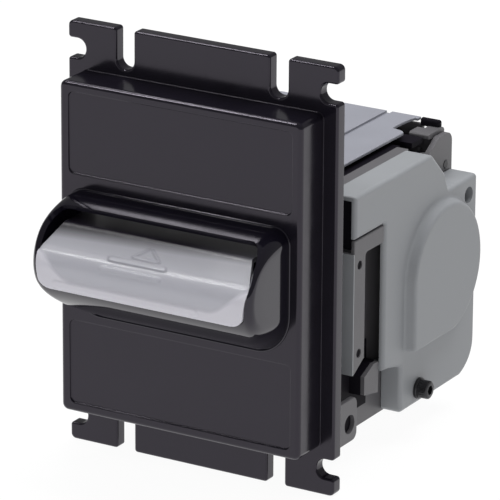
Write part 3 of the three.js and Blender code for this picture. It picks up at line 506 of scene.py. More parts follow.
def frost_and_painted_light(tree, place, paint):
    """Paler below a U-shaped crease along the nose, as painted light where the step there would catch the
    lamps. Darker upwards, partly because the upper plastic is clearer and partly as painted shade from the
    hood. A painted shadow under the hood's crest that reaches lower towards the left.
    """
    axes = node(tree, "ShaderNodeSeparateXYZ", {"Vector": place})
    across = maths(tree, "ABSOLUTE", axes.outputs["X"])
    ends = {
        "Value": across, "From Min": CREASE["from"] * MM, "From Max": CREASE["to"] * MM,
        "To Min": CREASE["base"] * MM, "To Max": (CREASE["base"] + CREASE["height"]) * MM}
    crease = node(tree, "ShaderNodeMapRange", ends, interpolation_type="SMOOTHSTEP").outputs["Result"]
    below = maths(tree, "SUBTRACT", crease, axes.outputs["Z"])
    # painted light: the band below the crease is paler, in place of the light its step catches
    thick = remap(tree, below, -1.0 * MM, 1.0 * MM, 0.0, 1.0)
    # darker upwards, partly the clearer plastic and partly painted shade under the hood
    clear = remap(tree, axes.outputs["Z"], 3 * MM, 13 * MM, 0.0, 0.6)
    # painted shadow under the hood's crest, its edge lower towards the left
    hood_shadow_line = maths(tree, "MULTIPLY_ADD", axes.outputs["X"], -0.03, axes.outputs["Z"])
    painted_hood_shadow = remap(tree, hood_shadow_line, 12.6 * MM, 15.4 * MM, 0.0, 1.0)
    paint = blended(tree, clear, paint, (0.16, 0.16, 0.18, 1.0))
    paint = blended(tree, thick, paint, (0.54, 0.53, 0.58, 1.0))
    return blended(tree, painted_hood_shadow, paint, (0.012, 0.010, 0.016, 1.0))


LOOKS = {
    "black_plastic": surface(
        "satin black plastic", (0.0060, 0.0052, 0.0085), 0.17, mottle=0.12, smudge=0.04, bump=0.003,
        wear=0.6, worn=4.0, tint=(0.93, 0.86, 1.0)),
    "gloss_black": surface(
        "gloss black plastic", (0.0040, 0.0034, 0.0070), 0.06, coat=0.12, mottle=0.06, smudge=0.025,
        grain=0.9, bump=0.0010, tint=(0.93, 0.88, 1.0)),
    # its pattern paints light below the crease and shade under the hood
    "clear_grey": surface(
        "frosted grey plastic with painted light and shade", (0.41, 0.41, 0.455), 0.36, coat=0.12, mottle=0.02, smudge=0.03,
        cloud=30.0, grain=0.30, bump=0.006, wear=0.35, worn=1.4, subsurface=0.25, pattern=frost_and_painted_light),
    "cool_grey_plastic": surface(
        "cool grey plastic", (0.248, 0.257, 0.271), 0.46, mottle=0.035, bump=0.012, wear=0.25, worn=1.4),
    "light_grey_plastic": surface(
        "light grey plastic", (0.245, 0.250, 0.285), 0.44, mottle=0.035, bump=0.012, wear=0.3, worn=1.4),
    "dark_grey_plastic": surface(
        "dark grey plastic", (0.100, 0.097, 0.104), 0.44, mottle=0.06, wear=0.5, worn=1.9),
    "white_plastic": surface(
        "natural white plastic", (0.68, 0.67, 0.62), 0.38, mottle=0.03, bump=0.006, subsurface=0.15),
    "connector_plastic": surface(
        "cream connector plastic", (0.62, 0.58, 0.48), 0.42, mottle=0.03, bump=0.006),
    "circuit_board": surface(
        "green circuit board", (0.018, 0.105, 0.045), 0.28, coat=0.4, mottle=0.08, cloud=5.0,
        pattern=tracks),
    "roller_rubber": surface(
        "black roller rubber", (0.022, 0.022, 0.023), 0.78, mottle=0.14, smudge=0.10, grain=0.22,
        bump=0.030),
    "black_screw": surface(
        "blackened screw", (0.035, 0.035, 0.038), 0.36, metal=0.75, mottle=0.10, grain=0.25,
        bump=0.006, wear=0.7, worn=6.0),
    "steel": surface(
        "turned steel", (0.56, 0.57, 0.58), 0.26, metal=1.0, mottle=0.06, smudge=0.08, grain=0.18,
        bump=0.004, stretch=(0.08, 1.0, 1.0)),
    "zinc_steel": surface(
        "zinc plated steel", (0.62, 0.64, 0.66), 0.34, metal=1.0, mottle=0.10, smudge=0.10, cloud=4.0,
        bump=0.006),
    "brass": surface(
        "brass", (0.60, 0.44, 0.19), 0.30, metal=1.0, mottle=0.08, smudge=0.08, cloud=6.0, bump=0.004),
}
CHIP = surface("black chip resin", (0.020, 0.020, 0.021), 0.55, mottle=0.10, grain=0.2)
FOIL = surface("capacitor sleeve", (0.05, 0.06, 0.09), 0.30, coat=0.3, grain=0.4)
# real matt black of the lever's crown and the head frame, and also the colour of the black sheets of
# painted shade
MATT_BLACK_AND_SHADE = surface("matt black plastic and painted shade", (0.006, 0.005, 0.008), 0.7, mottle=0.10, specular=0.15)
LAMP = surface("clear blue lamp", (0.42, 0.50, 0.62), 0.12, coat=0.8, mottle=0.03, bump=0.002)

RECORD = frame["record"]
SLOT_OF = {part["node"]: part["material_slot"] for part in RECORD["subparts"]}
BODY_OF = {
    name: body for body, names in RECORD["behaviour"]["bodies"].items() for name in names}


def piece(body, *nodes, look=None):
    """Finishes a body as the visible form of CAD nodes; it rides with the first one."""
    first = nodes[0]
    body.data.materials.clear()
    body.data.materials.append(look or LOOKS[SLOT_OF[first]])
    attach(body, BODY_OF[first])
    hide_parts(*nodes)
    return body


# ---- front bezel

def flange_outline():
    """Flange with a slot open at each end of both uprights and a notch in each side."""
    half_x, half_z = FLANGE["half_x"], FLANGE["half_z"]
    slot_end, slot_half = SLOT["end"], SLOT["width"] / 2
    notch_half = NOTCH["height"] / 2
    entry = 1.2
    quarter = []
    for sign in (-1, 1):
        centre = sign * SLOT["half_pitch"]
        quarter += [
            (centre - slot_half, half_z, entry), (centre - slot_half, slot_end, slot_half * 0.98),
            (centre + slot_half, slot_end, slot_half * 0.98), (centre + slot_half, half_z, entry)]
    right = [(half_x, half_z, FLANGE["corner"])]
    for centre in (NOTCH["z"], -NOTCH["z"]):
        above, below = centre + notch_half, centre - notch_half
        right += [
            (half_x, above, entry), (NOTCH["end"], above, notch_half * 0.98),
            (NOTCH["end"], below, notch_half * 0.98), (half_x, below, entry)]
    right.append((half_x, -half_z, FLANGE["corner"]))
    top = quarter + right
    bottom = [(-u, -v, r) for u, v, r in top]
    return top + bottom


def snout_mouth():
    """Outline of the snout where it passes through the bezel's face."""
    half, top, bottom = SNOUT["half_x"], SNOUT["top"], SNOUT["bottom"]
    r_top, r_low, rise = SNOUT["top_radius"], SNOUT["bottom_radius"], SNOUT["bottom_rise"]
    right = [(half - r_low + r_low * math.sin(a), bottom + rise * (1 - math.cos(a)))
             for a in np.radians(np.linspace(0, 90, 13))]
    right += [(half - r_top + r_top * math.sin(a), top - r_top * (1 - math.cos(a)))
              for a in np.radians(np.linspace(90, 0, 9))]
    return right + mirrored(right)


def make_bezel():
    """Flange and hollow raised box in one, with two sunk panels and the snout's mouth."""
    thick, edge = FLANGE["thick"], FLANGE["edge"]
    body = slab("bezel", flange_outline(), "y", 0.0, thick, edge, 0.4, 3, 9)
    half_x, half_z, front = BOX["half_x"], BOX["half_z"], BOX["front"]
    shape = rectangle(-half_x, half_x, -half_z, half_z, BOX["corner"])
    join(body, slab("raised box", shape, "y", front, 3.0, BOX["edge"], 0.0, 5))
    wall = BOX["wall"]
    inside = rectangle(wall - half_x, half_x - wall, wall - half_z, half_z - wall, 1.0)
    tools = [slab("inside", inside, "y", front + wall, thick + 1)]
    for low, high in (PANEL["upper"], PANEL["lower"]):
        panel = rectangle(-PANEL["half_x"], PANEL["half_x"], low, high, 2.2)
        tools.append(slab("panel", panel, "y", front - 1, front + PANEL["depth"], 0.0, 0.5))
    tools.append(slab("mouth", inset(snout_mouth(), -GAP), "y", front - 1, front + wall + 1))
    cut(body, *tools)
    piece(soften(body, 0.3, 40), "front_bezel")


# ---- snout

def snout_side():
    """Close points on the side view, from the root over the crest and nose to the lower root."""
    nose, top, bottom = (SNOUT["nose_y"], SNOUT["nose_z"]), SNOUT["top"], SNOUT["bottom"]
    over = bezier((-19.0, top), (-29.0, top), (nose[0], 15.0), nose, 160)
    under = bezier(nose, (nose[0], -8.0), (-31.0, -16.0), (-21.0, bottom + 3.2), 160)
    corner = bezier((-21.0, bottom + 3.2), (-19.4, bottom + 2.3), (-17.0, bottom + 1.0),
                    (BOX["front"], bottom), 24)
    ends = [(SNOUT["back"], top), (-16.0, top)]
    return np.array(ends + over + under[1:] + corner[1:] + [(SNOUT["back"], bottom - 1.4)])


def along(points):
    """Distance run along a line of points, to each of them."""
    steps = np.linalg.norm(np.diff(points, axis=0), axis=1)
    return np.concatenate([[0.0], np.cumsum(steps)])


def followed(line, run, places):
    """Points at distances along a line, and the direction to the left of it at each of them."""
    y, z = (np.interp(places, run, line[:, k]) for k in (0, 1))
    step = np.stack([np.gradient(y, places), np.gradient(z, places)], axis=1)
    step /= np.linalg.norm(step, axis=1)[:, None]
    return y, z, np.stack([-step[:, 1], step[:, 0]], axis=1)


def quad(i, k, width):
    """Face of a grid whose rows hold a number of points."""
    return [i * width + k, i * width + k + 1, (i + 1) * width + k + 1, (i + 1) * width + k]


def window_half(z):
    """Half the width of the snout's window at a height."""
    heights = [-5.6, -5.4, -4.9, -4.1, -3.0, -1.6, 4.6, 11.0, 16.4, 18.6, 20.1, 21.1, 21.6]
    halves = [37.4, 39.0, 40.4, 41.5, 42.3, 42.7, 43.5, 44.3, 43.7, 42.8, 41.6, 40.2, 38.4]
    return np.interp(z, heights, halves)


def snout_row(y, z, inward, radius, window, root_z):
    """Right half of a row of the hood: past the window, round the corner and to the root."""
    flat = SNOUT["half_x"] - radius
    side = window if window <= flat else flat + radius * math.asin((window - flat) / radius)
    reach = np.concatenate([
        np.linspace(0, side, HOOD_STEPS["window"] + 1),
        np.linspace(side, flat + radius * math.pi / 2, HOOD_STEPS["corner"] + 1)[1:]])
    row = []
    for length in reach:
        a = max(length - flat, 0.0) / radius
        drop = radius * (1 - math.cos(a))
        row.append((min(length, flat) + radius * math.sin(a),
                    min(y + inward[0] * drop, SNOUT["back"]), z + inward[1] * drop))
    rim = np.array(row[-1])
    root = np.array([SNOUT["half_x"], SNOUT["back"], root_z])
    cheek = HOOD_STEPS["cheek"]
    return row + [tuple(rim + (root - rim) * k / cheek) for k in range(1, cheek + 1)]


def make_snout():
    """Hood with round corners, open in a wide window between its crest and its lip."""
    side = snout_side()
    run = along(side)
    crest, lip = (np.interp(-SNOUT[key], -side[:, 1], run) for key in ("crest_z", "lip_z"))
    spans = [(0, crest, 14), (crest, crest + 6, 12), (crest + 6, lip - 4, 14), (lip - 4, lip, 9)]
    stations = np.concatenate(
        [np.linspace(*span)[:-1] for span in spans] + [np.linspace(lip, run[-1], 18)])
    y, z, inward = followed(side, run, stations)
    top, nose, bottom = (SNOUT[f"{place}_radius"] for place in ("top", "nose", "bottom"))
    radius = top + (nose - top) * smoothstep(crest * 0.6, crest + 14, stations)
    radius += (bottom - nose) * smoothstep(lip - 2, run[-1] - 5, stations)
    window = window_half(np.clip(z, SNOUT["lip_z"], SNOUT["crest_z"]))
    root_z = np.interp(stations, [0, run[-1]], [SNOUT["top"] - top, SNOUT["bottom"] + bottom])
    verts = []
    for spot in zip(y, z, inward, radius, window, root_z):
        row = snout_row(*spot)
        verts += [(-p[0], p[1], p[2]) for p in reversed(row[1:])] + row
    centre = sum(HOOD_STEPS.values())
    faces = []
    for i in range(len(stations) - 1):
        open_row = crest - 1e-6 <= stations[i] and stations[i + 1] <= lip + 1e-6
        for k in range(2 * centre):
            if not (open_row and abs(k + 0.5 - centre) < HOOD_STEPS["window"]):
                faces.append(quad(i, k, 2 * centre + 1))
    body = new_object("snout", verts, faces)
    edit(body, lambda work: bmesh.ops.remove_doubles(work, verts=work.verts, dist=1e-5))
    thicken(body, SNOUT["wall"])
    piece(smooth(bevelled(body, SNOUT["rim"], 50, 4), 40), "note_snout")
    bead = [(u, BOX["front"] - 0.1, v) for u, v in inset(snout_mouth(), -0.1)]
    piece(tube("snout_bead", bead, 0.42, closed=True), "note_snout")


# ---- tray

def capsule(u, v, u0, u1, v0, half):
    """How far points lie inside a round-ended bar; negative outside."""
    centre = np.clip(u, u0 + half, u1 - half)
    return half - np.hypot(u - centre, v - v0)


def tray_line():
    """Side view of the tray, from the note slot over the ramp and the nose to the lip."""
    floor, top, nose = TRAY["floor"], TRAY["ramp_top"], TRAY["nose_y"]
    line = [(-1.0, floor), (top + 1.2, floor)]
    line += bezier((top + 1.2, floor), (top, floor), (top - 0.4, floor - 0.3),
                   (top - 0.9, floor - 0.9), 6)[1:]
    line += bezier(TRAY["ramp_foot"], (-39.9, 7.1), (nose, 5.0), (nose, 1.5), 20)
    line += bezier((nose, 1.5), (nose, -1.0), (nose + 0.1, -3.0), (nose + 0.4, SNOUT["lip_z"]), 8)[1:]
    return np.array(line)


def tray_relief(x, here, z):
    """Height of the crease, the bars, the arrow and the lower band on one row of the tray."""
    ends = smoothstep(CREASE["from"], CREASE["to"], np.abs(x))
    lift = 0.45 * smoothstep(-1.0, 1.0, CREASE["height"] * ends + CREASE["base"] - z)
    for low, high, centre in BARS:
        lift += 0.35 * smoothstep(-0.3, 0.3, capsule(x, here, low, high, centre, 0.95))
    tip, base, half = ARROW["tip"], ARROW["base"], ARROW["half"]
    across = np.abs(x - ARROW["middle"])
    share = (here - tip) / (base - tip)
    if 0 <= share <= 1:
        lift += 0.3 * smoothstep(-0.3, 0.3, 0.55 - np.abs(across - half * share))
    if abs(here - base) < 0.9:
        lift += 0.3 * smoothstep(-0.3, 0.3, 0.5 - abs(here - base)) * (across < half)
    return lift + 0.3 * smoothstep(-0.25, 0.25, capsule(x, z, -36, 24, -3.3, 1.3))


def make_tray():
    """Frosted sheet bent over the ramp and the nose, in close rows where it has relief."""
    line = tray_line()
    run = along(line)
    close_from = 26
    rows = np.concatenate(
        [np.linspace(0, close_from, 5)[:-1], np.linspace(close_from, run[-1], 112)])
    y, z, inward = followed(line, run, rows)
    half = np.minimum(np.interp(z, [-5.6, 6.0, 15.8], [44.0, 44.3, 38.7]), window_half(z) - 0.35)
    columns = np.linspace(-1, 1, 171)
    verts = []
    for i, here in enumerate(rows):
        x = columns * half[i]
        lift = tray_relief(x, here, z[i])
        verts += zip(x, y[i] - inward[i, 0] * lift, z[i] - inward[i, 1] * lift)
    width = len(columns)
    faces = [quad(i, k, width) for i in range(len(rows) - 1) for k in range(width - 1)]
    body = thicken(new_object("tray", verts, faces), TRAY["sheet"])
    piece(smooth(body, 35), "note_tray")


# ---- posts, lugs and sides

def make_posts():
    """Posts and lugs behind the flange, with black sheets of painted shade in the gaps beside them and a
    paler face on each post's front as painted light.
    """
    inner, outer, foot = POST["inner"], POST["outer"], POST["foot"]
    for side, word in SIDES:
        shape = [
            (20.5, -42.0, 0.6), (28.8, -37.0, 0.6), (28.8, 3.0, 1.6), (42.2, 3.0, 0.5),
            (42.2, 9.6, 0.5), (20.5, 9.6, 0.5)]
        low, high = sided(side, inner, outer)
        body = slab(f"post_{word}", shape, "x", low, high, 0.5, 0.5)
        join(body,
             brick("web", sided(side, inner, 45.5), (foot, 21.5), (-36.0, 2.0)),
             brick("foot", (low, high), (foot, 7.3), (-36.0, 2.0)))
        cut(body,
            brick("corner", sided(side, 43.0, 50.4), (19.5, 26.0), (5.0, 10.5)),
            *[rod("hole", 1.7, (POST["hole_y"], z), low - 1, high + 1) for z in POST["hole_z"]])
        piece(soften(body, 0.3, 40), f"mounting_post_{word}")

        shape = [(foot, -66.5, 0.8), (24.0, -66.5, 3.0), (24.0, -50.0, 3.0), (foot, -50.0, 0.8)]
        low, high = sided(side, 49.7, outer)
        lug = slab(f"lug_{word}", shape, "x", low, high, 0.4, 0.4)
        join(lug, brick("foot", sided(side, 44.1, outer), (foot, 7.1), (-65.5, -53.0)))
        cut(lug, rod("hole", 3.6, LUG_HOLE, low - 1, high + 1, 40))
        piece(soften(lug, 0.25, 40), f"flange_lug_{word}")

        tab = [(31.6, -53.2), (42.2, -55.3), (42.2, -42.8), (38.5, -42.8), (31.6, -45.9)]
        # black sheets of painted shade: in the lug's hole, on the chassis wall, behind the tab and in the
        # post's holes
        shades = [
            rod("shade", 3.55, LUG_HOLE, *sided(side, 49.8, 50.1)),
            brick("shade", sided(side, inner, 44.0), (5.4, 44.0), (-61.0, -36.0)),
            slab("shade", tab, "x", *sided(side, inner, 48.6))]
        shades += [rod("shade", 1.65, (POST["hole_y"], z), *sided(side, 49.0, 51.2))
                   for z in POST["hole_z"]]
        for number, shade in enumerate(shades, 1):
            shade.name = f"painted_shade_{word}_{number}"
            piece(shade, f"chassis_side_{word}", look=MATT_BLACK_AND_SHADE)
        # paler grey face on the post's front, painted light in place of light from the front right
        face = brick(f"post_painted_light_face_{word}", sided(side, 43.9, outer), (20.1, 20.8), (-41.5, 4.6), 0.1)
        piece(face, f"mounting_post_{word}", look=LOOKS["cool_grey_plastic"])


# ---- side covers

def cover_outline():
    """Side cover seen from the right, as (y, z, radius) corners."""
    corner = bezier((102.5, -67.8), (108.0, -66.0), (113.0, -62.0), (113.0, -55.0), 12)
    swell = bezier((42.6, -46.9), (48.0, -47.2), (51.0, -48.4), (56.0, -49.5), 6)
    points = [(56.0, -49.5, 0.8), (56.0, -67.8, 1.6)]
    points += [(u, v, 0.0) for u, v in corner]
    points += [(113.0, 9.4, 1.4), (90.8, 9.4, 1.5), (87.4, 16.8, 3.0), (77.8, 26.2, 3.5),
               (20.5, 26.2, 0.8), (20.5, 9.9, 0.8), (42.5, 9.9, 0.6)]
    points += [(u, v, 0.0) for u, v in swell[:-1]]
    return points


def boss_outline(radius, bottom):
    """Round boss with a straight near side and one square lower corner."""
    y, z = BOSS["y"], BOSS["z"]
    corner = arc((y - radius + 1.4, bottom + 1.4), 1.4, 180.0, 270.0, 4)
    curve = [(u, max(v, bottom)) for u, v in arc((y, z), radius, -100.0, 180.0, 56)]
    return corner + curve


def make_boss():
    wall = [(27.6, -1.5), (27.6, 0.0), (27.0, 0.1), (26.5, 0.4), (26.2, 0.9), (25.6, 2.6), (25.4, 3.2),
            (25.1, 3.6), (24.7, 3.85), (24.2, 3.97), (23.7, 4.0)]
    verts = []
    for radius, height in wall:
        points = boss_outline(radius, BOSS["bottom"] + 0.25 * (BOSS["base"] - radius))
        verts += [(COVER["outer"] + height, u, v) for u, v in points]
    return new_object("boss", verts, ring_faces(len(wall), len(points)))


def make_covers():
    """Hollow side covers, the right one with its round boss."""
    shape = cover_outline()
    outer, edge, wall = COVER["outer"], COVER["edge"], COVER["wall"]
    for side, word in SIDES:
        low, high = sided(side, 41.0, outer)
        ends = (0.0, edge) if side > 0 else (edge, 0.0)
        body = slab(f"cover_{word}", shape, "x", low, high, *ends, 5)
        if side > 0:
            join(body, make_boss())
        cut(body, slab("hollow", shrunk(shape, wall), "x", *sided(side, 40.0, outer - wall)))
        if side > 0:
            cut(body, rod("dome", BOSS["crown"] - wall, (BOSS["y"], BOSS["z"]), 49.0, 54.0, 64))
        seat = sided(side, COVER["rim"], outer - 1)
        join(body,
             rod("seat", 3.4, SCREW_LOW, *seat),
             rod("seat", 4.6, SCREW_HIGH, *seat))
        rim = sided(side, 40.0, COVER["rim"])
        cut(body,
            brick("rim", rim, (0.0, 120.0), (-80.0, 7.2)),
            brick("rim", rim, (0.0, 76.2), (6.9, 24.1)),
            brick("window", sided(side, 42.8, outer - wall), (40.0, 46.0), (-44.0, 7.5)),
            brick("front", sided(side, 42.8, outer - wall + 0.2), (19.5, 23.5), (9.0, 24.4)),
            rod("hole", 3.2, SCREW_HIGH, *sided(side, 45.8, outer + 1), 40),
            rod("hole", 1.8, SCREW_HIGH, *sided(side, 41.0, outer + 1), 24),
            rod("hole", 2.0, SCREW_LOW, *sided(side, 41.0, outer + 1), 24))
        piece(soften(body, 0.3, 40), f"side_cover_{word}")
        # black sheet of painted shade inside the cover, behind its front cut
        shade_sheet = brick(f"cover_painted_shade_{word}", sided(side, 43.9, 50.1), (23.0, 23.7), (5.2, 24.3), 0.1)
        piece(shade_sheet, f"side_cover_{word}", look=MATT_BLACK_AND_SHADE)


def socket_screw(name, side, place, seat, radius, height, shank, length):
    """Cap screw with a hexagon socket, its head standing outwards from its seat."""
    washer = 1.1 if height > 3 else 0.0
    head = radius * 0.86 if washer else radius
    profile = [
        (-length, 0.0), (-length, shank * 0.8), (0.6 - length, shank), (0.0, shank), (0.0, radius)]
    if washer:
        profile += [(washer - 0.2, radius), (washer, radius - 0.2), (washer, head)]
    profile += [(height - 0.7, head), (height - 0.3, head - 0.12), (height, head - 0.6), (height, 0.0)]
    profile = [(side * (seat + 0.1 + u), r) for u, r in profile]
    body = lathe(name, profile, "x", place, 40)
    hexagon = arc(place, head * 0.56, 0, 300, 5)
    cut(body, slab("socket", hexagon, "x", *sided(side, seat + height * 0.45, seat + height + 1)))
    if washer:
        span = sided(side, seat + washer + 0.5, seat + height - 0.8)
        cut(body, *[rod("flute", 0.22, spot, *span, 6) for spot in arc(place, head, 0, 342, 19)])
    return smooth(body, 35)


def make_screws():
    for side, word in SIDES:
        low = socket_screw(f"cap_screw_{word}", side, SCREW_LOW, COVER["outer"], 4.0, 5.0, 1.5, 9.0)
        piece(low, f"side_cover_{word}_screw_low")
        high = socket_screw(f"sunk_screw_{word}", side, SCREW_HIGH, 45.8, 2.8, 1.8, 1.5, 3.5)
        piece(high, f"side_cover_{word}_screw_high")
    for number, x in ((1, -22.0), (2, 22.0)):
        profile = [(28.1, 0.0), (28.1, 2.2), (28.5, 2.2), (28.85, 1.9), (29.05, 1.2), (29.1, 0.0)]
        head = lathe(f"lid_screw_{number}", profile, "z", (x, 24.0), 32)
        cut(head,
            brick("blade", (x - 1.3, x + 1.3), (23.7, 24.3), (28.7, 29.6)),
            brick("blade", (x - 0.3, x + 0.3), (22.7, 25.3), (28.7, 29.6)))
        piece(smooth(head, 35), f"top_cover_screw_{number}")


# ---- lid and lever

def lid_outline(half, rear):
    """Lid seen from above, with the thumb cut in its right rear corner."""
    front, cut_x, cut_front, cut_rear, tail = 14.0, 26.5, 92.5, 108.2, 28.8
    shape = [(-half, front), (half, front), (half, cut_front - 2)]
    shape += bezier((half, cut_front - 2), (half - 0.6, cut_front - 0.4), (half - 2, cut_front + 0.2),
                    (cut_x, cut_front + 0.8), 8)[1:]
    shape += bezier((cut_x, cut_front + 0.8), (cut_x - 0.5, cut_front + 4), (cut_x, cut_rear - 2),
                    (cut_x + 1.0, cut_rear), 10)[1:]
    return shape + [(tail, cut_rear + 0.3), (tail, rear), (1 - half, rear), (-half, rear - 1)]


def make_lid():
    """Lid with two grooves, a stiffening layer under it and skirts at its rear."""
    front, rear = 14.0, 111.0
    body = slab("lid", lid_outline(32.5, rear), "z", 26.9, 28.0, 0.0, 0.35)
    join(body,
         slab("under", rectangle(-30.6, 24.6, front + 1.5, 107.0, 0.5), "z", 25.9, 27.2),
         brick("skirt", (-30.0, -28.0), (100.0, 109.0), (23.9, 26.4)),
         brick("skirt", (-2.0, 20.0), (107.0, 109.0), (23.9, 26.4)))
    cut(body, *[brick("groove", sided(side, 14.3, 16.7), (front - 1, rear + 1), (27.1, 29.0))
                for side, _ in SIDES])
    piece(soften(body, 0.3, 40), "top_cover")


def make_lever():
    """Release lever with its arm, pad and black crown, and the spring round its pin."""
    pin_y, pin_z = LEVER["pin"]
    inner, outer, top = LEVER["inner"], LEVER["outer"], LEVER["pad_top"]
    arm = arc(LEVER["pin"], 3.2, 180, 360, 12)
    arm += [(111.6, 24.6), (110.8, top), (106.0, top), (105.4, 24.0)]
    lever = slab("lever", arm, "x", inner, outer)
    pad = [(99.4, 23.6, 0.4), (106.5, 23.2, 0.4), (106.5, top, 0.4), (99.4, top, 1.0)]
    join(lever, slab("pad", pad, "x", 30.0, outer))
    cut(lever, rod("bore", 1.7, LEVER["pin"], inner - 1, outer + 0.7))
    piece(soften(lever, 0.35, 40), "release_lever")
    hump = [(109.2, 25.0, 0.4), (111.8, 25.0, 0.4), (111.8, 28.0, 1.1), (109.2, 28.0, 1.1)]
    crown = slab("lever_crown", hump, "x", 29.4, 37.4, 0.4, 0.9, 4)
    piece(smooth(crown), "release_lever", look=MATT_BLACK_AND_SHADE)
    coil, turns = 2.5, []
    for k in range(65):
        a = k * math.pi / 8
        turns.append((29.75 + 2.7 * k / 64, pin_y + coil * math.cos(a), pin_z + coil * math.sin(a)))
    piece(tube("lever_spring", turns, 0.32, around=8), "latch_spring")


# ---- rollers and drive

def wheel(name, place, low, high, bore, radius, grooves, steps):
    """Tyre about the X axis, with round edges and with grooves round its face."""
    edge = 0.6
    groove = [(-0.5, 0.0), (-0.3, -0.4), (0.3, -0.4), (0.5, 0.0)]
    face = [(low, radius - edge), (low + edge * 0.3, radius - edge * 0.3), (low + edge, radius)]
    for k in range(grooves):
        centre = low + (high - low) * (k + 1) / (grooves + 1)
        face += [(centre + u, radius + r) for u, r in groove]
    face += [(high - edge, radius), (high - edge * 0.3, radius - edge * 0.3), (high, radius - edge)]
    profile = [(low, bore)] + face + [(high, bore), (low, bore)]
    return smooth(lathe(name, profile, "x", place, steps), 30)


def make_rollers():
    """Drum with its tyres, front and pinch rollers, and the two belt pulleys."""
    profile = [(-48.6, 0.0), (-48.6, 2.1), (-48.3, 2.4), (-41.0, 2.4), (-41.0, 3.0), (-37.2, 3.0),
               (-37.2, 11.6), (-36.8, 12.0)]
    seat = [(-6.1, 12.0), (-6.1, 11.0), (6.1, 11.0), (6.1, 12.0)]
    for centre in (-ROLLER_X, ROLLER_X):
        profile += [(centre + u, r) for u, r in seat]
    profile += [(37.6, 12.0), (38.0, 11.6), (38.0, 3.0), (48.9, 3.0), (49.2, 2.7), (49.2, 0.0)]
    piece(smooth(lathe("drum_core", profile, "x", DRUM_AT, 72)), "rear_drum")
    for side, word in SIDES:
        mid = side * ROLLER_X
        tyre = wheel(f"drum_tread_{word}", DRUM_AT, mid - 6, mid + 6, 11.05, 14.0, 5, 72)
        piece(tyre, f"drum_tyre_{word}")
        roller = wheel(f"front_tread_{word}", FRONT_AT, mid - 5, mid + 5, 2.55, 10.0, 4, 64)
        piece(roller, f"front_roller_{word}")
        half = [(7.2, 0.0), (7.2, 0.8), (7.0, 1.0), (5, 1.0), (5, 2.9), (4.7, 3.2)]
        face = [(mid - u, r) for u, r in half] + [(mid + u, r) for u, r in reversed(half)]
        pinch = lathe(f"pinch_{word}", face, "x", PINCH_AT, 40)
        piece(smooth(pinch), f"pinch_roller_{word}")
    for name, place, bore, radius in (
            ("drum_pulley", DRUM_AT, 3.05, 4.9), ("front_pulley", FRONT_AT, 2.55, 3.5)):
        rim = [(-40.6, bore), (-40.6, radius), (-40.4, radius), (-40.2, radius - 0.4),
               (-38.0, radius - 0.4), (-37.8, radius), (-37.6, radius), (-37.6, bore), (-40.6, bore)]
        piece(smooth(lathe(f"{name}_rim", rim, "x", place, 48)), name)


# ---- circuit boards

def make_board(node_name, body, parts):
    """Circuit board, with the parts on it as pieces of their own."""
    piece(soften(body, 0.12, 40), node_name)
    for number, (part, look) in enumerate(parts, 1):
        part.name = f"{node_name}_part_{number}"
        piece(part, node_name, look=look)


def chip(x, y, z, legs):
    """Moulded chip, with bent legs along its two long sides."""
    body = brick("chip", x, y, z, 0.25)
    for k in range(legs):
        at = x[0] + (x[1] - x[0]) * (k + 0.5) / legs
        for near, far in ((y[0] - 0.8, y[0] + 0.3), (y[1] - 0.3, y[1] + 0.8)):
            join(body, brick("leg", (at - 0.22, at + 0.22), (near, far), (z[0] + 0.05, z[0] + 0.5)))
    return smooth(body)


def can(x, y, low, high, radius):
    """Capacitor standing on a board."""
    profile = [(low, 0.0), (low, radius), (low + 0.8, radius), (low + 1.1, radius - 0.25),
               (low + 1.4, radius), (high - 0.4, radius), (high, radius - 0.5), (high, radius * 0.7),
               (high - 0.2, radius * 0.66), (high - 0.2, 0.0)]
    return smooth(lathe("can", profile, "z", (x, y), 36))


def make_boards():
    z = -62.0
    sheet = brick("control_board", (-36.5, 36.5), (34.0, 92.0), (z, z + 1.6))
    top = z + 1.5
    parts = [
        (chip((-20, -6), (50.9, 63.1), (top, z + 4), 10), CHIP),
        (chip((4, 14), (48.9, 67.1), (top, z + 3.5), 7), CHIP),
        (brick("header", (-28, -18), (74, 86), (top, z + 9), 0.5), LOOKS["connector_plastic"]),
        (chip((10, 26), (76.9, 83.1), (top, z + 6), 8), CHIP),
        (can(26, 60, top, z + 12, 4.0), FOIL), (can(-28, 60, top, z + 12, 4.0), FOIL)]
    make_board("main_board", sheet, parts)

    sheet = brick("head_board", (-29.5, 29.5), (44.5, 79.5), (22.6, 23.8))
    parts = [
        (chip((-12, -2), (56.9, 65.1), (23.7, 25.2), 8), CHIP),
        (chip((6, 16), (58.9, 63.1), (23.7, 25.0), 7), CHIP),
        (brick("eye", (-3, 3), (46.5, 51.5), (20.9, 22.7), 0.6), LAMP)]
    make_board("head_sensor_board", sheet, parts)

    sheet = brick("light_board", (-32, 32), (-26.5, -24.9), (-14, 10.5))
    join(sheet, brick("ear", (-34.5, 34.5), (-26.5, -24.9), (-10, 6)))
    lamps = []
    for x in (-24, -12, 0, 12, 24):
        dome = [(-26.4, 0.0), (-26.4, 1.8), (-26.9, 1.8), (-26.9, 1.55)]
        dome += [(-26.9 - 2.6 * math.sin(a), 1.55 * math.cos(a))
                 for a in np.linspace(0.2, math.pi / 2, 7)]
        lamps.append((smooth(lathe("lamp", dome, "y", (x, 3.0), 24)), LAMP))
    make_board("led_board", sheet, lamps)


# ---- back and the rest

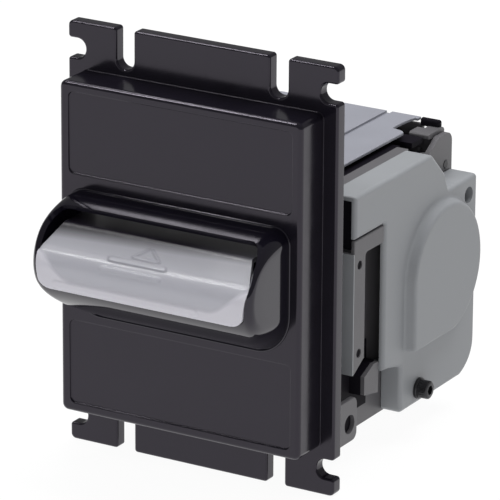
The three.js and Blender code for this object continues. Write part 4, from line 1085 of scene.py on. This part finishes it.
def make_back():
    """Ribbed rear cover, and the harness socket with its pins."""
    cover = refined("rear_cover", "back_cover", 0.4)
    ribs = [brick("rib", (x - 0.7, x + 0.7), (111.0, 112.0), (-58.0, -24.0))
            for x in range(-30, 31, 10)]
    join(cover, *ribs)
    piece(soften(cover, 0.2, 40), "rear_cover")
    piece(refined("harness_socket", "socket_housing", 0.25), "harness_socket")
    for row, z in enumerate((-16.2, -11.8)):
        for k in range(7):
            x = -12.6 + 4.2 * k
            pin = brick("pin", (x - 0.4, x + 0.4), (107.2, 111.0), (z - 0.4, z + 0.4), 0.15)
            pin.name = f"socket_pin_{row * 7 + k + 1}"
            piece(pin, "harness_socket", look=LOOKS["brass"])


REFINED = {
    "chassis_side_left": 0.4, "chassis_side_right": 0.4, "lower_guide": 0.3, "note_sensor_lens": 0.3,
    "rear_guide": 0.3, "inner_guide": 0.4, "base_plate": 0.4, "head_frame": 0.3, "drive_motor": 0.25,
    "idler_gear": 0.12, "drum_gear": 0.12, "motor_pinion": 0.08, "idler_stud": 0.2, "motor_shaft": 0.15,
    "encoder_wheel": 0.12, "drum_bush_left": 0.12, "drum_bush_right": 0.12, "front_bush_left": 0.12,
    "front_bush_right": 0.12, "front_roller_shaft": 0.2, "drive_belt": 0.15, "pullback_gate": 0.2,
    "gate_bracket_left": 0.3, "gate_bracket_right": 0.3, "head_hinge_pin": 0.15, "release_lever_pin": 0.15,
}

make_bezel()
make_snout()
make_tray()
make_posts()
make_covers()
make_screws()
make_lid()
make_lever()
make_rollers()
make_boards()
make_back()
for node_name, width in REFINED.items():
    look = MATT_BLACK_AND_SHADE if node_name == "head_frame" else None
    piece(refined(node_name, f"{node_name}_fine", width), node_name, look=look)


# ---- floor, light and camera

def make_floor():
    floor = brick("floor", (-4000.0, 4000.0), (-4000.0, 4000.0), (-90.5, -80.5))
    made, tree, shader, place = blank(
        "pale floor", Roughness=0.9, Specular_IOR_Level=0.0, Emission_Color=(1.0, 1.0, 1.0, 1.0),
        Emission_Strength=0.95)
    pale, paler = (0.055, 0.055, 0.055, 1.0), (0.065, 0.065, 0.065, 1.0)
    paint = blended(tree, noise(tree, place, 3.0), pale, paler)
    tree.links.new(paint, shader.inputs["Base Color"])
    floor.data.materials.append(made)


def softbox(name, place, size, power, reflected=True):
    """Rectangular area light in metres and watts, turned towards the middle of the machine."""
    light = bpy.data.lights.new(name, "AREA")
    light.shape = "RECTANGLE"
    light.size, light.size_y = size
    light.energy = power
    lamp = placed(name, light)
    lamp.visible_glossy = reflected
    lamp.location = place
    lamp.rotation_euler = (Vector(LIT) - Vector(place)).to_track_quat("-Z", "Y").to_euler()


def make_lights():
    world = bpy.data.worlds.new("studio")
    world.use_nodes = True
    sky = world.node_tree.nodes["Background"]
    sky.inputs["Color"].default_value = (1.0, 1.0, 1.0, 1.0)
    sky.inputs["Strength"].default_value = 0.22
    bpy.context.scene.world = world
    softbox("overhead", (0.1, 0.6, 1.7), (1.5, 1.2), 44.0, reflected=False)
    softbox("right", (1.0, -1.6, 0.5), (0.7, 0.7), 6.0, reflected=False)
    softbox("front", (-0.6, -1.8, 0.7), (1.0, 0.9), 5.0, reflected=False)
    softbox("front left", (-0.70, -0.60, 1.15), (0.11, 0.26), 3.0)
    softbox("crest", (-0.66, -0.10, 1.25), (0.80, 0.06), 1.6)


def make_camera():
    azimuth, elevation, roll = (math.radians(CAMERA[key]) for key in ("azimuth", "elevation", "roll"))
    turn = Matrix.Rotation(azimuth, 4, "Z") @ Matrix.Rotation(math.pi / 2 - elevation, 4, "X")
    back = Matrix.Rotation(roll, 4, "Z") @ Matrix.Translation((0.0, 0.0, CAMERA["distance"]))
    lens = bpy.data.cameras.new("camera")
    lens.lens = CAMERA["lens"]
    lens.sensor_width = CAMERA["sensor"]
    camera = placed("camera", lens)
    camera.matrix_world = Matrix.Translation(CAMERA["aim"]) @ turn @ back
    bpy.context.scene.camera = camera


make_floor()
make_lights()
make_camera()
bpy.context.scene.view_settings.view_transform = "Standard"
